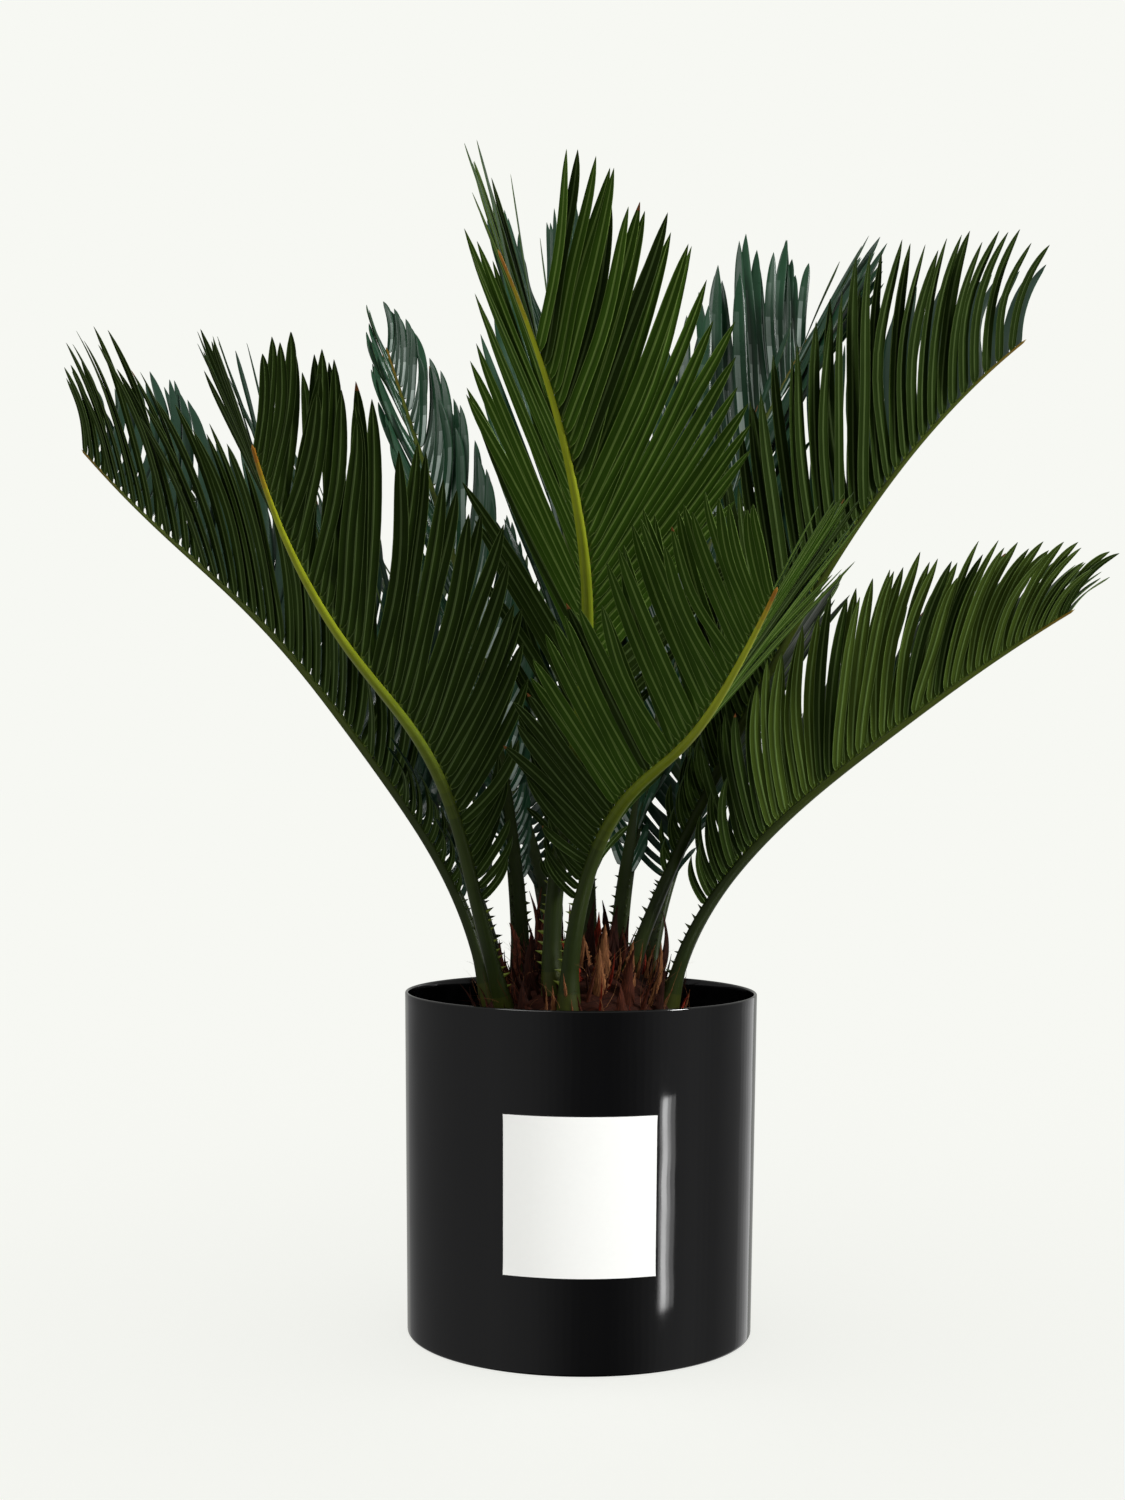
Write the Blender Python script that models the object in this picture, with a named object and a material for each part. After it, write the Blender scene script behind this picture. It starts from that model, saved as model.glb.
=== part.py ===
"""Sago palm in its glossy black pot.

Metres, +Z up. The origin is the centre of the pot's flat underside. -Y is the front, with the blank label.
Compass angles are in degrees, anticlockwise from +X. A stalk's lean is measured from the vertical.
"""

import math
from typing import NamedTuple

import bmesh
import bpy
from mathutils import Vector
from mathutils.bvhtree import BVHTree

GAP = 0.0003

# Pot, a drum of lacquered sheet that widens a little to its rim
POT_HEIGHT = 0.211
POT_RIM_RADIUS = 0.110
POT_BASE_RADIUS = 0.107
POT_WALL = 0.0020
POT_FLOOR = 0.0030
POT_HEEL = 0.0022
POT_FACETS = 60

# Label on the front of the pot, a bare sheet of paper
LABEL_BOTTOM = 0.057
LABEL_TOP = 0.150
LABEL_THICKNESS = 0.0004
LABEL_FACETS = 8

# Potting soil, level under the trunk and lower at the wall
SOIL_TOP = 0.180
SOIL_EDGE_DROP = 0.004
SOIL_LEVEL_RADIUS = 0.078
SOIL_FACETS = 30

# Trunk, the low dome that the stalks grow out of
TRUNK_RADIUS = 0.066
TRUNK_RISE = 0.050
TRUNK_FACETS = 36
TRUNK_RINGS = 10
STALK_CLEARANCE = 0.0008
SCALE_CLEARANCE = 0.0005
SEAT_SLIDE = 0.8  # most that a corner slides on the dome, as a share of the stalk's flare
SEAT_TRIES = 40

# Scale leaves, the pointed bud scales between the stalks
SCALE_PLACES = 46
SCALE_FIELD = 0.93  # share of the trunk's radius that the scales cover
SCALE_WIDTH = 0.015
SCALE_THICKNESS = 0.0032
SCALE_SHORTEST = 0.040
SCALE_LONGEST = 0.070
SCALE_LEANS = (3, 20)  # at the middle of the trunk and at its edge
SCALE_OUTLINE = ((0, 1.0, 0), (0.3, 0.86, 0.02), (0.7, 0.45, 0.01))  # share up, share of width, bow
SCALE_TIP_BOW = -0.03
SCALE_SECTION = ((-1, -0.4), (0, 1), (1, -0.4), (0, -0.3))
GOLDEN_ANGLE = 137.508

# Rachis and leaflets, the same for every frond
SWEEP_STEPS = 240
STALK_FLARE = 0.016
STALK_RINGS = 6
RACHIS_STATIONS = (0.0, 0.06, 0.25, 0.60, 1.0)
RACHIS_WIDTHS = (0.0165, 0.0120, 0.0092, 0.0062, 0.0024)
RACHIS_DEPTH = 0.85
# Section: flat above, keeled below, with a steep face on each side that leaflets grow from
RACHIS_SECTION = ((-1, 0.6), (1, 0.6), (0.85, -0.4), (0, -1), (-0.85, -0.4))
RACHIS_RIGHT_FACE = 1
RACHIS_LEFT_FACE = 4
LEAFLET_PITCH = 0.0124
LEAFLET_ROOT = 0.0050
LEAFLET_WIDTH = 0.0072
LEAFLET_THICKNESS = 0.0017
LEAFLET_SHOULDER = 0.58
LEAFLET_MOST_FILL = 0.74
GROWING_ALONG = (0.0, 0.10, 0.25, 0.42)
GROWING_SHARE = (0.30, 0.66, 0.92, 1.0)
TIP_DROP = 0.60  # share of its length that the last leaflet lacks
TIP_DROP_POWER = 1.3
UNEVEN_LENGTH = 0.05
UNEVEN_TURN = 2.4
SPREAD_ALONG = (0.0, 0.15, 0.50, 0.85, 1.0)
SPREAD_AT_FOOT = 88
SPREAD_NEAR_FOOT = 14
SPREAD_NEAR_TIP = 4
LEAFLET_STEPS = 12
LEAFLET_CLEARANCE = 0.0005
LEAFLET_TEST_FROM = 0.06
# A leaflet that would touch another is tried like this: share of its length, degrees more rise
SECOND_TRIES = ((1.0, 0), (0.85, 0), (1.0, 9), (1.0, -9), (0.7, 0), (0.7, 12), (0.7, -12))


class Frond(NamedTuple):
    """One frond. The stalk leans by `lean`, five angles from foot to tip, towards `heading` plus `swing`.

    Shares of the leafy length run from the lowest leaflet, 0, to the tip, 1.
    """

    seat: tuple  # compass angle, and distance from the axis in mm
    heading: float
    swing: float
    lean: tuple
    length: float
    leaflet: float  # length of the longest leaflet
    bare: float  # share of the length that is stalk without leaflets
    rise: float  # angle by which a leaflet rises out of the flat, which folds the frond to a V
    roll: float
    spread: tuple  # angle between leaflet and rachis at the middle and at the tip
    curl: tuple  # degrees by which a leaflet bends towards the tip, at the middle and at the tip
    full: float  # share of the leafy length from which the leaflets get shorter
    left_end: float = 1.0  # share of the leafy length at which the left-hand row ends


# In the order in which they claim their space: where two would touch, the later one gives way
FRONDS = {
    "front_left": Frond(
        (247, 44), 330, -118, (-4, 17, 31, 28, 28), 0.45, 0.168, 0.30, 26, -10, (36, 34), (19, 18), 0.54, 0.83
    ),
    "left_front": Frond(
        (218, 58), 214, 50, (19, 21, 55, 55, 52), 0.425, 0.162, 0.24, 62, -10, (43, 28), (22, 16), 0.60
    ),
    "front_right": Frond(
        (262, 55), 312, -26, (0, 29, 66, 55, 54), 0.350, 0.130, 0.24, 40, 0, (56, 44), (22, 30), 0.60
    ),
    "left_low": Frond(
        (185, 57), 171, -6, (10, 34, 40, 50, 44), 0.455, 0.128, 0.24, 53, 6, (53, 56), (22, 32), 0.80
    ),
    "right_high": Frond(
        (341, 31), 350, 6, (20, 26, 29, 37, 51), 0.460, 0.158, 0.26, 53, -4, (41, 45), (8, 44), 0.55
    ),
    "right_low": Frond(
        (342, 57), 348, 6, (11, 38, 51, 54, 59), 0.350, 0.120, 0.20, 56, -10, (58, 40), (18, 42), 0.44
    ),
    "back_right": Frond(
        (58, 44), 34, 0, (2, 15, 19, 28, 32), 0.460, 0.145, 0.26, 42, 22, (42, 32), (8, 16), 0.84
    ),
    "back_left": Frond(
        (140, 50), 135, 2, (2, 12, 20, 25, 24), 0.450, 0.102, 0.26, 47, -24, (32, 28), (26, 32), 0.50
    ),
    "back": Frond(
        (84, 48), 104, 0, (4, 12, 19, 24, 28), 0.490, 0.160, 0.26, 52, -14, (26, 12), (12, 12), 0.80
    ),
    "right_back": Frond(
        (26, 47), 50, 20, (8, 34, 48, 54, 56), 0.310, 0.120, 0.26, 45, 0, (56, 46), (22, 30), 0.60
    ),
    "back_low": Frond(
        (107, 57), 112, 8, (12, 36, 52, 56, 58), 0.390, 0.135, 0.24, 45, 0, (56, 48), (22, 30), 0.60
    ),
    "back_side": Frond(
        (160, 54), 158, -6, (10, 30, 42, 50, 52), 0.400, 0.130, 0.24, 45, 0, (54, 46), (22, 30), 0.60
    ),
}


def clear_scene():
    for item in list(bpy.data.objects):
        bpy.data.objects.remove(item, do_unlink=True)


def material(name, colour, roughness, metallic=0.0, coat=0.0):
    made = bpy.data.materials.new(name)
    made.use_nodes = True
    shader = made.node_tree.nodes["Principled BSDF"]
    shader.inputs["Base Color"].default_value = (*colour, 1.0)
    shader.inputs["Roughness"].default_value = roughness
    shader.inputs["Metallic"].default_value = metallic
    shader.inputs["Coat Weight"].default_value = coat
    made.diffuse_color = (*colour, 1.0)
    return made


def add_object(name, bm, finish, smooth_angle=35):
    bmesh.ops.recalc_face_normals(bm, faces=bm.faces[:])
    if bm.calc_volume(signed=True) < 0:
        bmesh.ops.reverse_faces(bm, faces=bm.faces[:])
    mesh = bpy.data.meshes.new(name)
    bm.to_mesh(mesh)
    bm.free()
    mesh.materials.append(finish)
    mesh.shade_smooth()
    mesh.set_sharp_from_angle(angle=math.radians(smooth_angle))
    item = bpy.data.objects.new(name, mesh)
    bpy.context.scene.collection.objects.link(item)
    return item


def between(value, stations, amounts):
    """The amount at `value`, on straight lines between the stations."""
    for low, high, start, end in zip(stations, stations[1:], amounts, amounts[1:]):
        if value <= high:
            return start + (end - start) * (value - low) / (high - low)
    return amounts[-1]


def smooth_between(share, amounts):
    """The amount at `share` of the way along evenly spaced amounts, on a smooth curve through them."""
    ends = (2 * amounts[0] - amounts[1], *amounts, 2 * amounts[-1] - amounts[-2])
    place = share * (len(amounts) - 1)
    first = min(int(place), len(amounts) - 2)
    t = place - first
    a, b, c, d = ends[first : first + 4]
    return 0.5 * (2 * b + (c - a) * t + (2 * a - 5 * b + 4 * c - d) * t**2 + (3 * b - a - 3 * c + d) * t**3)


def loft(bm, low, high):
    """The faces between two rings of as many corners."""
    count = len(low)
    faces = []
    for index in range(count):
        after = (index + 1) % count
        faces.append(bm.faces.new((low[index], low[after], high[after], high[index])))
    return faces


def turned(profile, facets):
    """A closed body turned about Z from (radius, height) pairs that start and end on the axis."""
    bm = bmesh.new()
    points = [bm.verts.new((radius, 0, height)) for radius, height in profile]
    edges = [bm.edges.new(pair) for pair in zip(points, points[1:])]
    bmesh.ops.spin(
        bm, geom=points + edges, axis=(0, 0, 1), cent=(0, 0, 0), steps=facets, angle=math.tau, use_merge=True
    )
    bmesh.ops.remove_doubles(bm, verts=bm.verts[:], dist=1e-6)
    return bm


def pot_radius(height):
    """Outer radius of the pot's wall."""
    return POT_BASE_RADIUS + (POT_RIM_RADIUS - POT_BASE_RADIUS) * height / POT_HEIGHT


def add_pot():
    lip = POT_WALL / 4
    profile = [
        (0, 0),
        (POT_BASE_RADIUS - POT_HEEL, 0),
        (POT_BASE_RADIUS - POT_HEEL * 0.3, POT_HEEL * 0.3),
        (pot_radius(POT_HEEL), POT_HEEL),
        (pot_radius(POT_HEIGHT - lip), POT_HEIGHT - lip),
        (POT_RIM_RADIUS - lip, POT_HEIGHT),
        (POT_RIM_RADIUS - POT_WALL + lip, POT_HEIGHT),
        (pot_radius(POT_HEIGHT - lip) - POT_WALL, POT_HEIGHT - lip),
        (pot_radius(POT_FLOOR) - POT_WALL, POT_FLOOR),
        (0, POT_FLOOR),
    ]
    lacquer = material("black_lacquer", (0.006, 0.006, 0.007), 0.12, coat=0.6)
    add_object("pot", turned(profile, POT_FACETS), lacquer)


def add_label():
    """A thin sheet that follows the pot's facets, one gap outside them."""
    bm = bmesh.new()
    columns = []
    for index in range(LABEL_FACETS + 1):
        angle = -math.pi / 2 + (index - LABEL_FACETS / 2) * math.tau / POT_FACETS
        column = []
        for height in (LABEL_BOTTOM, LABEL_TOP):
            for offset in (GAP, GAP + LABEL_THICKNESS):
                radius = pot_radius(height) + offset
                column.append(bm.verts.new((radius * math.cos(angle), radius * math.sin(angle), height)))
        columns.append((column[0], column[1], column[3], column[2]))
    for first, second in zip(columns, columns[1:]):
        loft(bm, first, second)
    bm.faces.new(columns[0])
    bm.faces.new(columns[-1])
    add_object("label", bm, material("white_paper", (0.82, 0.82, 0.80), 0.6))


def add_soil():
    bottom = POT_FLOOR + GAP
    edge_top = SOIL_TOP - SOIL_EDGE_DROP
    profile = [
        (0, bottom),
        (pot_radius(bottom) - POT_WALL - GAP, bottom),
        (pot_radius(edge_top) - POT_WALL - GAP, edge_top),
        (SOIL_LEVEL_RADIUS, SOIL_TOP),
        (0, SOIL_TOP),
    ]
    add_object("soil", turned(profile, SOIL_FACETS), material("potting_soil", (0.035, 0.022, 0.014), 0.95))


def dome_height(reach):
    """Height of the dome at a distance from the axis."""
    return SOIL_TOP + GAP + TRUNK_RISE * math.sqrt(1 - (reach / TRUNK_RADIUS) ** 2)


def dome_scale(point, clearance):
    """1 on the dome moved out by `clearance`, less inside it and more outside."""
    rise = (point.z - SOIL_TOP - GAP) / (TRUNK_RISE + clearance)
    reach = math.hypot(point.x, point.y) / (TRUNK_RADIUS + clearance)
    return math.hypot(rise, reach)


def add_trunk():
    foot = SOIL_TOP + GAP
    profile = [(0, foot)]
    for index in range(TRUNK_RINGS + 1):
        turn = math.pi / 2 * index / TRUNK_RINGS
        profile.append((TRUNK_RADIUS * math.cos(turn), foot + TRUNK_RISE * math.sin(turn)))
    profile[-1] = (0, foot + TRUNK_RISE)
    bm = turned(profile, TRUNK_FACETS)
    tree = BVHTree.FromBMesh(bm)
    add_object("trunk", bm, material("brown_fibre", (0.075, 0.035, 0.020), 0.9))
    return tree


def onto_dome(point, along, clearance):
    """The point slid along the stalk or scale until it stands clear on the dome."""
    low, high = -STALK_FLARE * SEAT_SLIDE, STALK_FLARE * SEAT_SLIDE
    if dome_scale(point + along * low, clearance) > 1:
        return point + along * low
    for _ in range(SEAT_TRIES):
        middle = (low + high) / 2
        if dome_scale(point + along * middle, clearance) > 1:
            high = middle
        else:
            low = middle
    return point + along * high


class Station(NamedTuple):
    """A place on the stalk: its centre, the way to the tip, the upper face's way out and the right side."""

    centre: Vector
    along: Vector
    up: Vector
    side: Vector


def sweep(frond):
    """Evenly spaced stations along the middle of the stalk and rachis."""
    stations = []
    angle, reach = math.radians(frond.seat[0]), frond.seat[1] / 1000
    centre = Vector((reach * math.cos(angle), reach * math.sin(angle), dome_height(reach)))
    roll = math.radians(frond.roll)
    previous = None
    for index in range(SWEEP_STEPS + 1):
        share = index / SWEEP_STEPS
        lean = math.radians(smooth_between(share, frond.lean))
        heading = math.radians(frond.heading + frond.swing * share)
        away = Vector((math.cos(heading), math.sin(heading), 0))
        along = away * math.sin(lean) + Vector((0, 0, math.cos(lean)))
        up = Vector((0, 0, math.sin(lean))) - away * math.cos(lean)
        side = along.cross(up)
        if previous:
            centre = centre + (along + previous) * (frond.length / SWEEP_STEPS / 2)
        previous = along
        rolled_up = up * math.cos(roll) + side * math.sin(roll)
        rolled_side = side * math.cos(roll) - up * math.sin(roll)
        stations.append(Station(centre.copy(), along, rolled_up, rolled_side))
    return stations


def station_at(stations, share):
    place = min(max(share, 0), 1) * SWEEP_STEPS
    first = min(int(place), SWEEP_STEPS - 1)
    t = place - first
    a, b = stations[first], stations[first + 1]
    return Station(*(one.lerp(other, t) for one, other in zip(a, b)))


def rachis_ring(stations, share):
    """Corners of the section there."""
    here = station_at(stations, share)
    half = between(share, RACHIS_STATIONS, RACHIS_WIDTHS) / 2
    deep = half * RACHIS_DEPTH
    return [here.centre + here.side * half * x + here.up * deep * y for x, y in RACHIS_SECTION]


def leaflet_shares(frond):
    """Shares of the length at which the pairs of leaflets leave the rachis."""
    count = round((1 - frond.bare) * frond.length / LEAFLET_PITCH)
    return [frond.bare + (1 - frond.bare) * (index + 0.5) / count for index in range(count)]


def add_rib(frond, stations):
    """The stalk and rachis as one closed tube, and the side faces that leaflets may grow from."""
    foot = next(i for i, here in enumerate(stations) if dome_scale(here.centre, STALK_CLEARANCE) > 1)
    start = foot / SWEEP_STEPS
    free = start + STALK_FLARE / frond.length
    shares = [free + (frond.bare - free) * index / STALK_RINGS for index in range(STALK_RINGS)]
    half_root = LEAFLET_ROOT / 2 / frond.length
    first_faces = {}
    for share in leaflet_shares(frond):
        first_faces[share] = len(shares) + 1
        shares += [share - half_root, share + half_root]
    shares.append(1.0)
    bm = bmesh.new()
    along = stations[foot].along
    foot_ring = [onto_dome(corner, along, STALK_CLEARANCE) for corner in rachis_ring(stations, start)]
    rings = [[bm.verts.new(corner) for corner in foot_ring]]
    rings += [[bm.verts.new(corner) for corner in rachis_ring(stations, share)] for share in shares]
    faces = [loft(bm, low, high) for low, high in zip(rings, rings[1:])]
    seat = bm.faces.new(rings[0])
    bm.faces.new(rings[-1])
    centre = bmesh.ops.poke(bm, faces=[seat])["verts"][0]
    centre.co = onto_dome(stations[foot].centre, along, STALK_CLEARANCE)
    roots = []
    for share, index in first_faces.items():
        roots.append((share, 1, faces[index][RACHIS_RIGHT_FACE]))
        roots.append((share, -1, faces[index][RACHIS_LEFT_FACE]))
    return bm, roots


def length_share(frond, along_rachis):
    """Length of a leaflet there, as a share of the longest: growing, full, then shorter to the tip."""
    if along_rachis < frond.full:
        return between(along_rachis, GROWING_ALONG, GROWING_SHARE)
    past = (along_rachis - frond.full) / (1 - frond.full)
    return 1 - TIP_DROP * past**TIP_DROP_POWER


def leaflet_path(frond, here, root, side, along_rachis, longer, more_rise):
    """The shoulder, its direction and the tip of a leaflet that curls towards the frond's tip."""
    middle, tip = frond.spread
    near_tip = (middle + tip) / 2 + SPREAD_NEAR_TIP
    spreads = (SPREAD_AT_FOOT, middle + SPREAD_NEAR_FOOT, middle, near_tip, tip)
    spread = between(along_rachis, SPREAD_ALONG, spreads)
    curl = between(along_rachis, (0, 0.5, 1), (frond.curl[0], *frond.curl))
    length = frond.leaflet * length_share(frond, along_rachis) * longer
    rise = math.radians(frond.rise + more_rise)
    out = here.side * (side * math.cos(rise)) + here.up * math.sin(rise)
    point = root.copy()
    for index in range(LEAFLET_STEPS):
        angle = math.radians(spread - curl * (index + 0.5) / LEAFLET_STEPS)
        way = here.along * math.cos(angle) + out * math.sin(angle)
        point = point + way * (length / LEAFLET_STEPS)
        if index + 1 <= LEAFLET_SHOULDER * LEAFLET_STEPS:
            shoulder, direction = point.copy(), way
    return shoulder, direction, point


def leaflet_corners(frond, here, face, side, along_rachis, longer, more_rise):
    """Four corners of the shoulder, in the root's order, those of a slightly fatter one, and the tip."""
    root = face.calc_center_median()
    shoulder, way, tip = leaflet_path(frond, here, root, side, along_rachis, longer, more_rise)
    across = (here.along - way * here.along.dot(way)).normalized()
    pitch = LEAFLET_PITCH * math.sqrt(max(1 - here.along.dot(way) ** 2, 0))
    width = min(LEAFLET_WIDTH, pitch * LEAFLET_MOST_FILL)
    normal = way.cross(across)
    rise = math.radians(frond.rise + more_rise)
    if normal.dot(here.up * math.cos(rise) - here.side * (side * math.sin(rise))) < 0:
        normal.negate()
    corners, fat = [], []
    for vert in face.verts:
        offset = vert.co - root
        x = math.copysign(width / 2, offset.dot(here.along))
        y = math.copysign(LEAFLET_THICKNESS / 2, offset.dot(here.up))
        corners.append(shoulder + across * x + normal * y)
        grown = math.copysign(LEAFLET_CLEARANCE, x), math.copysign(LEAFLET_CLEARANCE, y)
        fat.append(corners[-1] + across * grown[0] + normal * grown[1])
    return corners, fat, tip


def leaflet_tree(face, corners, tip):
    """Surface of a leaflet, from just outside its root, to test what it would touch."""
    start = [vert.co.lerp(corner, LEAFLET_TEST_FROM) for vert, corner in zip(face.verts, corners)]
    points = [*start, *corners, tip]
    faces = [(i, (i + 1) % 4, 4 + (i + 1) % 4, 4 + i) for i in range(4)]
    faces += [(4 + i, 4 + (i + 1) % 4, 8) for i in range(4)]
    return BVHTree.FromPolygons(points, faces)


def grow_leaflet(bm, face, corners, tip):
    places = {vert.co.copy().freeze(): corner for vert, corner in zip(face.verts, corners)}
    shoulder = bmesh.ops.extrude_discrete_faces(bm, faces=[face])["faces"][0]
    for vert in shoulder.verts:
        vert.co = places[vert.co.copy().freeze()]
    point = bmesh.ops.poke(bm, faces=[shoulder])["verts"][0]
    point.co = tip


def add_leaflets(frond, stations, bm, roots, neighbours):
    """Grow the leaflets that stay clear of the neighbours and of each other."""
    grown = []
    for index, (share, side, face) in enumerate(roots):
        here = station_at(stations, share)
        along_rachis = (share - frond.bare) / (1 - frond.bare)
        if side < 0 and along_rachis > frond.left_end:
            continue
        own_length = 1 + UNEVEN_LENGTH * math.sin(index * UNEVEN_TURN)
        for longer, more_rise in SECOND_TRIES:
            shape = (side, along_rachis, longer * own_length, more_rise)
            corners, fat, tip = leaflet_corners(frond, here, face, *shape)
            tree = leaflet_tree(face, fat, tip)
            if not any(tree.overlap(other) for other in neighbours + grown):
                grow_leaflet(bm, face, corners, tip)
                grown.append(tree)
                break


def add_fronds(neighbours):
    swept = {name: sweep(frond) for name, frond in FRONDS.items()}
    ribs = {name: add_rib(frond, swept[name]) for name, frond in FRONDS.items()}
    trees = {name: BVHTree.FromBMesh(bm) for name, (bm, roots) in ribs.items()}
    scales = add_scales(neighbours + list(trees.values()))
    green = material("frond_green", (0.036, 0.092, 0.020), 0.42)
    for name, frond in FRONDS.items():
        bm, roots = ribs[name]
        others = [tree for other, tree in trees.items() if other != name]
        add_leaflets(frond, swept[name], bm, roots, scales + others)
        trees[name] = BVHTree.FromBMesh(bm)
        finish = green.copy()
        finish.name = name + "_green"
        add_object("frond_" + name, bm, finish, smooth_angle=50)


def scale_body(index):
    """One pointed bud scale, standing on the dome where a sunflower spiral puts it."""
    share = math.sqrt((index + 0.5) / SCALE_PLACES)
    angle = math.radians(index * GOLDEN_ANGLE)
    away = Vector((math.cos(angle), math.sin(angle), 0))
    across = Vector((0, 0, 1)).cross(away)
    reach = TRUNK_RADIUS * SCALE_FIELD * share
    root = away * reach + Vector((0, 0, dome_height(reach)))
    lean = math.radians(SCALE_LEANS[0] + (SCALE_LEANS[1] - SCALE_LEANS[0]) * share)
    along = away * math.sin(lean) + Vector((0, 0, math.cos(lean)))
    outer = away * math.cos(lean) - Vector((0, 0, math.sin(lean)))
    length = SCALE_SHORTEST + (SCALE_LONGEST - SCALE_SHORTEST) * (0.5 + 0.5 * math.sin(index * 2.4))
    rings = []
    for share_up, width_share, bow in SCALE_OUTLINE:
        centre = root + along * (length * share_up) + outer * (length * bow)
        half = SCALE_WIDTH / 2 * width_share
        deep = SCALE_THICKNESS / 2
        rings.append([centre + across * (x * half) + outer * (y * deep) for x, y in SCALE_SECTION])
    rings[0] = [onto_dome(corner, along, SCALE_CLEARANCE) for corner in rings[0]]
    bm = bmesh.new()
    made = [[bm.verts.new(corner) for corner in ring] for ring in rings]
    for low, high in zip(made, made[1:]):
        loft(bm, low, high)
    seat = bm.faces.new(made[0])
    top = bm.faces.new(made[-1])
    foot = bmesh.ops.poke(bm, faces=[seat])["verts"][0]
    foot.co = onto_dome(root, along, SCALE_CLEARANCE)
    point = bmesh.ops.poke(bm, faces=[top])["verts"][0]
    point.co = root + along * length + outer * (length * SCALE_TIP_BOW)
    return bm


def add_scales(neighbours):
    """The bud scales that stand clear of the stalks and of each other, numbered from the middle out."""
    grown = []
    brown = material("scale_brown", (0.155, 0.070, 0.042), 0.8)
    for index in range(SCALE_PLACES):
        bm = scale_body(index)
        tree = BVHTree.FromBMesh(bm)
        if any(tree.overlap(other) for other in neighbours + grown):
            bm.free()
            continue
        grown.append(tree)
        finish = brown.copy()
        finish.name = f"scale_brown_{len(grown):02d}"
        add_object(f"scale_{len(grown):02d}", bm, finish)
    return grown


def main():
    clear_scene()
    add_pot()
    add_label()
    add_soil()
    add_fronds([add_trunk()])


main()
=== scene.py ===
"""Looks of the sago palm in its glossy black pot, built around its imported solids.

Metres, +Z up, in the frame of the solids: the origin is the centre of the pot's flat underside, and -Y
is the front, with the blank label. Compass angles are in degrees, anticlockwise from +X, and a stalk's
lean is measured from the vertical. The fronds grow by the rule of the solids, with finer leaflets.
"""

import math
import random
from typing import NamedTuple

import bpy
import numpy as np
from bpy.props import FloatProperty, FloatVectorProperty, IntProperty, PointerProperty
from mathutils import Matrix, Vector, noise
from mathutils.bvhtree import BVHTree


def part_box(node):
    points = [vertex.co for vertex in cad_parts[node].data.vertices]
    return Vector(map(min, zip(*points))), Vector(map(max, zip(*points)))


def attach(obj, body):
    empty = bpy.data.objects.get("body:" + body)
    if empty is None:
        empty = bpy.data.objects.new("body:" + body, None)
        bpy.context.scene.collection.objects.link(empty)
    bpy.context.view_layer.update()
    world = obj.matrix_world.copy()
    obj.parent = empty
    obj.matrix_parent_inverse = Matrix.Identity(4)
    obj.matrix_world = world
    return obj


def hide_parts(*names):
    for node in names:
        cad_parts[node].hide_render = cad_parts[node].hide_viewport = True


bl_info = {
    "name": "Potted sago palm",
    "version": (1, 0, 0),
    "blender": (4, 5, 0),
    "location": "3D View > Sidebar > Palm",
    "description": "Builds the looks of a sago palm in a lacquered pot around its solids",
    "category": "Add Mesh",
}

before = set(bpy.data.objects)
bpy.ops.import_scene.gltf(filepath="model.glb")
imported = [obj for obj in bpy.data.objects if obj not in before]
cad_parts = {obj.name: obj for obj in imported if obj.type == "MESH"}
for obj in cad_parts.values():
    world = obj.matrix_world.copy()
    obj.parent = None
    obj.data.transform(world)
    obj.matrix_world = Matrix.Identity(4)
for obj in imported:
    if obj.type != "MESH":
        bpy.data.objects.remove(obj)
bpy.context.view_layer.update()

POT_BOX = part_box("pot")
LABEL_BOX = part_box("label")
SOIL_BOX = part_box("soil")
TRUNK_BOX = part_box("trunk")
MM = 0.001
UP = Vector((0, 0, 1))
GRAIN = "grain"  # name of the map that holds each point's place across and along its piece, in metres

# Pot and label, where the solids are
POT_HEIGHT = POT_BOX[1].z
POT_RIM_RADIUS = POT_BOX[1].x
POT_BASE_RADIUS = 0.107
POT_WALL = 2.0 * MM
POT_FLOOR = 3.0 * MM
POT_HEEL = 2.2 * MM
POT_FACETS = 192
ARC_STEPS = 6
LABEL_HALF_ANGLE = 24.0
LABEL_GAP = 0.30 * MM
LABEL_THICKNESS = 0.28 * MM
LABEL_LIFT = 0.5 * MM  # how far the corners have come away from the pot
LABEL_LIFT_POWER = 14  # high, so that only the corners lift
LABEL_COLUMNS = 48
LABEL_ROWS = 30

# Soil
SOIL_GAP = 0.8 * MM
SOIL_RINGS = 44
SOIL_FACETS = 128
SOIL_DEPTH = 12 * MM
SOIL_BEVEL = 2 * MM  # of the hidden lower edge
SOIL_RELIEF = 1.6 * MM
SOIL_CLOD = 9 * MM
SOIL_LEVEL_TO = 78 * MM  # radius up to which the soil is level, then the width and the drop of its edge
SOIL_EDGE = 30 * MM
SOIL_EDGE_DROP = 4 * MM
CHIP_COUNT = 260

# Trunk
TRUNK_RADIUS = TRUNK_BOX[1].x
TRUNK_FOOT = TRUNK_BOX[0].z
TRUNK_RISE = TRUNK_BOX[1].z - TRUNK_BOX[0].z
TRUNK_RINGS = 40
TRUNK_FACETS = 120
TRUNK_RELIEF = 1.6 * MM
STALK_SINK = 5 * MM
GOLDEN_ANGLE = 137.508

# Bud scales and strips of fibre. Shares of the width along a scale's length
SCALE_OUTLINE = ((0.0, 1.0), (0.15, 1.0), (0.35, 0.84), (0.55, 0.58), (0.75, 0.34), (0.9, 0.16), (1.0, 0.04))
SCALE_COLUMNS = 8
SCALE_ROWS = 18
PAINTED_SUNLIT_SIDE = 305  # compass angle of the side where the scales are painted paler, as painted sunlight
STRIP_COUNT = 170
FIBRE_COUNT = 220
FIBRE_STEPS = 7

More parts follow.
